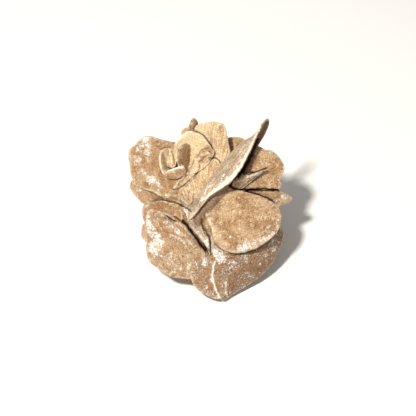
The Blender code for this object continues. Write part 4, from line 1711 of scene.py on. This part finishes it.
@dataclass(frozen=True)
class SandyGypsum:
    """Gypsum that crystallised through desert sand and locked its grains in.

    The eye gets a matt, gritty golden tan, greyed where silt is mixed in, paler where the sand
    was thin, with worn cream rims and white flecks where the gypsum itself is bruised. Its
    crevices and cracks are darkened to near-black brown as painted shade.
    """

    gold: str = "#C6A57E"
    pale: str = "#DDC6A2"
    straw: str = "#E7D2AA"
    brown: str = "#A47A50"
    rust: str = "#B98350"
    silt: str = "#A99B8B"
    pit: str = "#6E4E33"
    frost: str = "#EBE3DC"
    rim: str = "#F0E0C6"
    # painted shade: the near-black brown laid into crevices and cracks where shade falls
    painted_shade: str = "#2E180C"
    grain_mm: float = 0.5  # sand grains are 0.2 to 0.5 mm
    pit_mm: float = 0.9  # pits where grains fell out, drawn a little coarse to show
    clump_mm: float = 1.6  # grains that are cemented together
    mottle_mm: float = 6.5  # sandier and purer stretches
    flake_mm: float = 0.85  # white bruises are 0.3 to 2 mm across
    drift_mm: float = 2.6  # drifts of such bruises
    line_mm: float = 0.75  # growth lines
    line_stretch: float = 0.1  # how much slower they change along than across
    painted_shade_mm: float = 3.6  # gaps up to this wide are darkened as painted shade
    drift_weight: float = 0.76
    flake_weight: float = 0.45
    speckle: tuple[float, float] = (2.5, -0.25)  # gain and offset of the grains' lightness
    bump: float = 0.75
    bump_mm: float = 0.4  # height of the grains
    bump_grain: float = 0.8  # of the grains against the clumps
    roughness: float = 0.86
    ior: float = 1.52
    sheen: float = 0.5  # which the painted crack shade takes away

    def material(self) -> bpy.types.Material:
        """Builds the material.

        Returns:
            The material.
        """
        made = bpy.data.materials.new("sandy_gypsum_grown_in_desert_sand")
        made.use_nodes = True
        tree = made.node_tree
        tree.nodes.clear()
        carried = self.carried(tree)
        noise = self.noise(tree, carried["lie"])
        share = self.shares(tree, carried, noise)
        shader = add_node(
            tree,
            "ShaderNodeBsdfPrincipled",
            inputs={
                "Base Color": self.colour(tree, carried, noise, share),
                "Roughness": self.roughness,
                "IOR": self.ior,
                "Specular IOR Level": add_node(
                    tree,
                    "ShaderNodeMath",
                    {"operation": "MULTIPLY_ADD"},
                    {0: carried["painted_crack_shade"], 1: -self.sheen, 2: self.sheen},
                ).outputs[0],
                "Normal": self.normal(tree, noise, share),
            },
        )
        add_node(tree, "ShaderNodeOutputMaterial", inputs={"Surface": shader.outputs["BSDF"]})
        return made

    def carried(self, tree: bpy.types.NodeTree) -> Sockets:
        """Adds the nodes that read what the mesh carries.

        Args:
            tree: The material's node tree.

        Returns:
            The sockets of rim, frost, tone, grey, painted crack shade, lie and lined.
        """
        look, painted_crack_shade, lie = (
            add_node(tree, "ShaderNodeAttribute", {"attribute_name": name})
            for name in ("look", "painted_crack_shade", "lie")
        )
        parts = add_node(tree, "ShaderNodeSeparateColor", inputs={"Color": look.outputs["Color"]})
        lined = add_node(tree, "ShaderNodeSeparateXYZ", inputs={"Vector": lie.outputs["Vector"]})
        return {
            "rim": parts.outputs["Red"],
            "frost": parts.outputs["Green"],
            "tone": parts.outputs["Blue"],
            "grey": look.outputs["Alpha"],
            "painted_crack_shade": painted_crack_shade.outputs["Fac"],
            "lie": lie.outputs["Vector"],
            "lined": lined.outputs["Z"],
        }

    def noise(self, tree: bpy.types.NodeTree, lie: bpy.types.NodeSocket) -> Sockets:
        """Adds the sand's patterns, each at the size that it has in the real stone.

        Args:
            tree: The material's node tree.
            lie: Place along and across the growth lines, in millimetres.

        Returns:
            The socket of each pattern.
        """
        place = add_node(tree, "ShaderNodeTexCoord").outputs["Object"]
        drawn = add_node(
            tree,
            "ShaderNodeVectorMath",
            {"operation": "MULTIPLY"},
            {0: lie, 1: (self.line_stretch / self.line_mm, 1.0 / self.line_mm, 0.0)},
        ).outputs[0]
        noise = {}
        for name, vector, scale, detail, rough in (
            ("grain", place, per_metre(self.grain_mm), 2.0, 0.7),
            ("pit", place, per_metre(self.pit_mm), 2.0, 0.6),
            ("clump", place, per_metre(self.clump_mm), 3.0, 0.65),
            ("mottle", place, per_metre(self.mottle_mm), 4.0, 0.6),
            ("flake", place, per_metre(self.flake_mm), 3.0, 0.7),
            ("drift", place, per_metre(self.drift_mm), 4.0, 0.7),
            ("lines", drawn, 1.0, 2.0, 0.5),
        ):
            noise[name] = add_node(
                tree,
                "ShaderNodeTexNoise",
                inputs={"Vector": vector, "Scale": scale, "Detail": detail, "Roughness": rough},
            ).outputs["Fac"]
        return noise

    def shares(self, tree: bpy.types.NodeTree, carried: Sockets, noise: Sockets) -> Sockets:
        """Adds the shares in which the colours are laid over each other.

        Args:
            tree: The material's node tree.
            carried: What the mesh carries.
            noise: The sand's patterns.

        Returns:
            The socket of each share.
        """
        bruise = carried["frost"]
        for weight, other in (
            (self.drift_weight, noise["drift"]),
            (self.flake_weight, noise["flake"]),
        ):
            bruise = add_node(
                tree,
                "ShaderNodeMath",
                {"operation": "MULTIPLY_ADD"},
                {0: bruise, 1: weight, 2: other},
            ).outputs[0]
        # painted shade: ambient occlusion picks out the crevices that are darkened
        open_sky = add_node(
            tree,
            "ShaderNodeAmbientOcclusion",
            {"samples": 8, "only_local": True},
            {"Distance": self.painted_shade_mm * MM},
        ).outputs["AO"]
        share = {}
        for name, value, low, high, full in (  # from none at low to full at high
            ("golden", noise["mottle"], 0.34, 0.66, 1.0),
            ("thin", noise["clump"], 0.5, 0.72, 0.85),
            ("straw", carried["tone"], 0.98, 1.12, 0.5),
            ("rusty", carried["tone"], 0.9, 0.62, 0.5),
            ("pitted", noise["pit"], 0.56, 0.7, 0.62),
            ("gritty", carried["tone"], 1.1, 0.94, 1.0),
            ("light_line", noise["lines"], 0.52, 0.66, 0.7),
            ("dark_line", noise["lines"], 0.47, 0.34, 0.65),
            ("white", bruise, 0.94, 1.08, 0.95),
            ("veil", carried["frost"], 0.3, 1.2, 0.35),
            ("worn", noise["clump"], 0.3, 0.6, 1.0),
            # painted shade in the crevices, from the ambient occlusion
            ("deep", open_sky, 0.72, 0.2, 0.92),
        ):
            share[name] = add_node(
                tree,
                "ShaderNodeMapRange",
                {"interpolation_type": "SMOOTHSTEP"},
                {"Value": value, "From Min": low, "From Max": high, "To Max": full},
            ).outputs["Result"]
        for name, other in (
            ("light_line", carried["lined"]),
            ("dark_line", carried["lined"]),
            ("worn", carried["rim"]),
            ("pitted", share["gritty"]),
        ):
            share[name] = add_node(
                tree, "ShaderNodeMath", {"operation": "MULTIPLY"}, {0: share[name], 1: other}
            ).outputs[0]
        return share

    def colour(
        self, tree: bpy.types.NodeTree, carried: Sockets, noise: Sockets, share: Sockets
    ) -> bpy.types.NodeSocket:
        """Adds the colours, from the brown sand at the bottom to the painted crack shade at the
        top.

        Args:
            tree: The material's node tree.
            carried: What the mesh carries.
            noise: The sand's patterns.
            share: The share of each colour.

        Returns:
            The socket of the finished colour.
        """
        gain, offset = self.speckle
        speckle = add_node(
            tree,
            "ShaderNodeMath",
            {"operation": "MULTIPLY_ADD"},
            {0: noise["grain"], 1: gain, 2: offset},
        ).outputs[0]
        colour = linear(self.brown)
        for how_much, over, mode in (
            (share["golden"], linear(self.gold), "MIX"),
            (share["thin"], linear(self.pale), "MIX"),
            (share["straw"], linear(self.straw), "MIX"),
            (share["rusty"], linear(self.rust), "MIX"),
            (carried["grey"], linear(self.silt), "MIX"),
            (share["light_line"], linear(self.pale), "MIX"),
            (share["dark_line"], linear(self.brown), "MIX"),
            (share["pitted"], linear(self.pit), "MIX"),
            (share["veil"], linear(self.frost), "MIX"),
            (1.0, carried["tone"], "MULTIPLY"),
            (1.0, speckle, "MULTIPLY"),
            (share["white"], linear(self.frost), "MIX"),
            (share["worn"], linear(self.rim), "MIX"),
            # painted shade in the crevices, by ambient occlusion
            (share["deep"], linear(self.painted_shade), "MIX"),
            # painted shade in the cracks and grooves, from the traces
            (carried["painted_crack_shade"], linear(self.painted_shade), "MIX"),
        ):
            colour = add_node(
                tree,
                "ShaderNodeMix",
                {"data_type": "RGBA", "blend_type": mode},
                {0: how_much, 6: colour, 7: over},  # the factor and the two colours
            ).outputs[2]
        return colour

    def normal(
        self, tree: bpy.types.NodeTree, noise: Sockets, share: Sockets
    ) -> bpy.types.NodeSocket:
        """Adds the grains and the pits between them as fine bumps.

        Args:
            tree: The material's node tree.
            noise: The sand's patterns.
            share: The share of each colour, of which the pits are used.

        Returns:
            The socket of the bumped normal.
        """
        rough = add_node(
            tree,
            "ShaderNodeMath",
            {"operation": "MULTIPLY_ADD"},
            {0: noise["grain"], 1: self.bump_grain, 2: noise["clump"]},
        ).outputs[0]
        pitted = add_node(
            tree, "ShaderNodeMath", {"operation": "SUBTRACT"}, {0: rough, 1: share["pitted"]}
        ).outputs[0]
        return add_node(
            tree,
            "ShaderNodeBump",
            inputs={"Strength": self.bump, "Distance": self.bump_mm * MM, "Height": pitted},
        ).outputs["Normal"]


@dataclass(frozen=True)
class BackingPaper:
    """Matt white paper, which gives a plain pale ground with no texture."""

    white: str = "#F7F6F3"
    roughness: float = 0.95
    sheen: float = 0.1

    def material(self) -> bpy.types.Material:
        """Builds the material.

        Returns:
            The material.
        """
        made = bpy.data.materials.new("matt_white_backing_paper")
        made.use_nodes = True
        shader = made.node_tree.nodes["Principled BSDF"]
        shader.inputs["Base Color"].default_value = linear(self.white)
        shader.inputs["Roughness"].default_value = self.roughness
        shader.inputs["Specular IOR Level"].default_value = self.sheen
        return made


@dataclass
class Studio:
    """The pale floor, the soft lights and the camera."""

    floor_half: float = 3.0  # m
    key_energy: float = 9.6  # W
    key_size: float = 0.10  # m
    key_colour: tuple[float, float, float] = (1.0, 0.97, 0.92)
    key_way: tuple[float, float, float] = (-0.30, 0.27, 0.91)  # in the face frame
    key_distance: float = 0.9  # m
    sky_colour: tuple[float, float, float, float] = (1.0, 0.985, 0.96, 1.0)
    sky_strength: float = 0.34
    distance: float = 0.7  # m from the camera to the middle of the face
    elevation: float = 50.0  # degrees that the camera looks down
    aim: tuple[float, float, float] = (-0.0009, -0.0055, 0.0314)  # m
    frame_width: float = 0.1872  # m that the view spans at the rose
    sensor_mm: float = 36.0

    def floor(self) -> bpy.types.Object:
        """Builds the floor that the rose rests on.

        Returns:
            The floor, in the scene.
        """
        h = self.floor_half
        mesh = bpy.data.meshes.new("studio_floor")
        mesh.from_pydata([(-h, -h, 0), (h, -h, 0), (h, h, 0), (-h, h, 0)], [], [(0, 1, 2, 3)])
        mesh.materials.append(BackingPaper().material())
        floor = bpy.data.objects.new("studio_floor", mesh)
        bpy.context.scene.collection.objects.link(floor)
        return floor

    def lights(self) -> None:
        """Sets the key light and the soft sky that fills its shadows."""
        tip = Matrix.Rotation(math.radians(FACE_TIP), 3, "X")
        way = (tip @ Vector(self.key_way)).normalized()
        key = bpy.data.lights.new("key", "AREA")
        key.shape = "DISK"
        key.size = self.key_size
        key.energy = self.key_energy
        key.color = self.key_colour
        lamp = bpy.data.objects.new("key", key)
        lamp.location = Vector(self.aim) + way * self.key_distance
        lamp.rotation_euler = way.to_track_quat("Z", "Y").to_euler()
        bpy.context.scene.collection.objects.link(lamp)
        world = bpy.data.worlds.new("studio_sky")
        world.use_nodes = True
        sky = world.node_tree.nodes["Background"]
        sky.inputs["Color"].default_value = self.sky_colour
        sky.inputs["Strength"].default_value = self.sky_strength
        bpy.context.scene.world = world

    def camera(self) -> None:
        """Sets the camera square to the open face."""
        lens = bpy.data.cameras.new("camera")
        lens.sensor_width = self.sensor_mm
        lens.lens = lens.sensor_width * self.distance / self.frame_width
        eye = bpy.data.objects.new("camera", lens)
        up = math.radians(self.elevation)
        back = Vector((0.0, -math.cos(up), math.sin(up)))
        eye.location = Vector(self.aim) + back * self.distance
        eye.rotation_euler = back.to_track_quat("Z", "Y").to_euler()
        bpy.context.scene.collection.objects.link(eye)
        bpy.context.scene.camera = eye


def main() -> None:
    """Builds the rose, dresses it and sets the studio round it."""
    logging.basicConfig(level=logging.INFO, format="%(message)s")
    shells = [
        PackedHeart(HEART, HEART_RADII, "heart").shell(),
        PackedHeart(FOOT, FOOT_RADII, "foot", seed=811).shell(),
    ]
    for group in (
        LeftFans(),
        UpperFans(),
        Rosette(),
        BigFin(),
        RightBlades(),
        LeftBlades(),
        BottomBlades(),
        HiddenSide(),
    ):
        grown = group.shells()
        shells += grown
        count = sum(len(shell.faces) for shell in grown)
        log.info("%s: %d blades, %d faces", type(group).__name__, len(grown), count)
    rose = JoinedRose(shells).build()
    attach(rose, "root")
    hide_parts(NODE)
    log.info("%s: %d faces", rose.name, len(rose.data.polygons))

    studio = Studio()
    studio.floor()
    studio.lights()
    studio.camera()
    bpy.context.scene.view_settings.view_transform = "Standard"


if __name__ == "__main__":
    main()
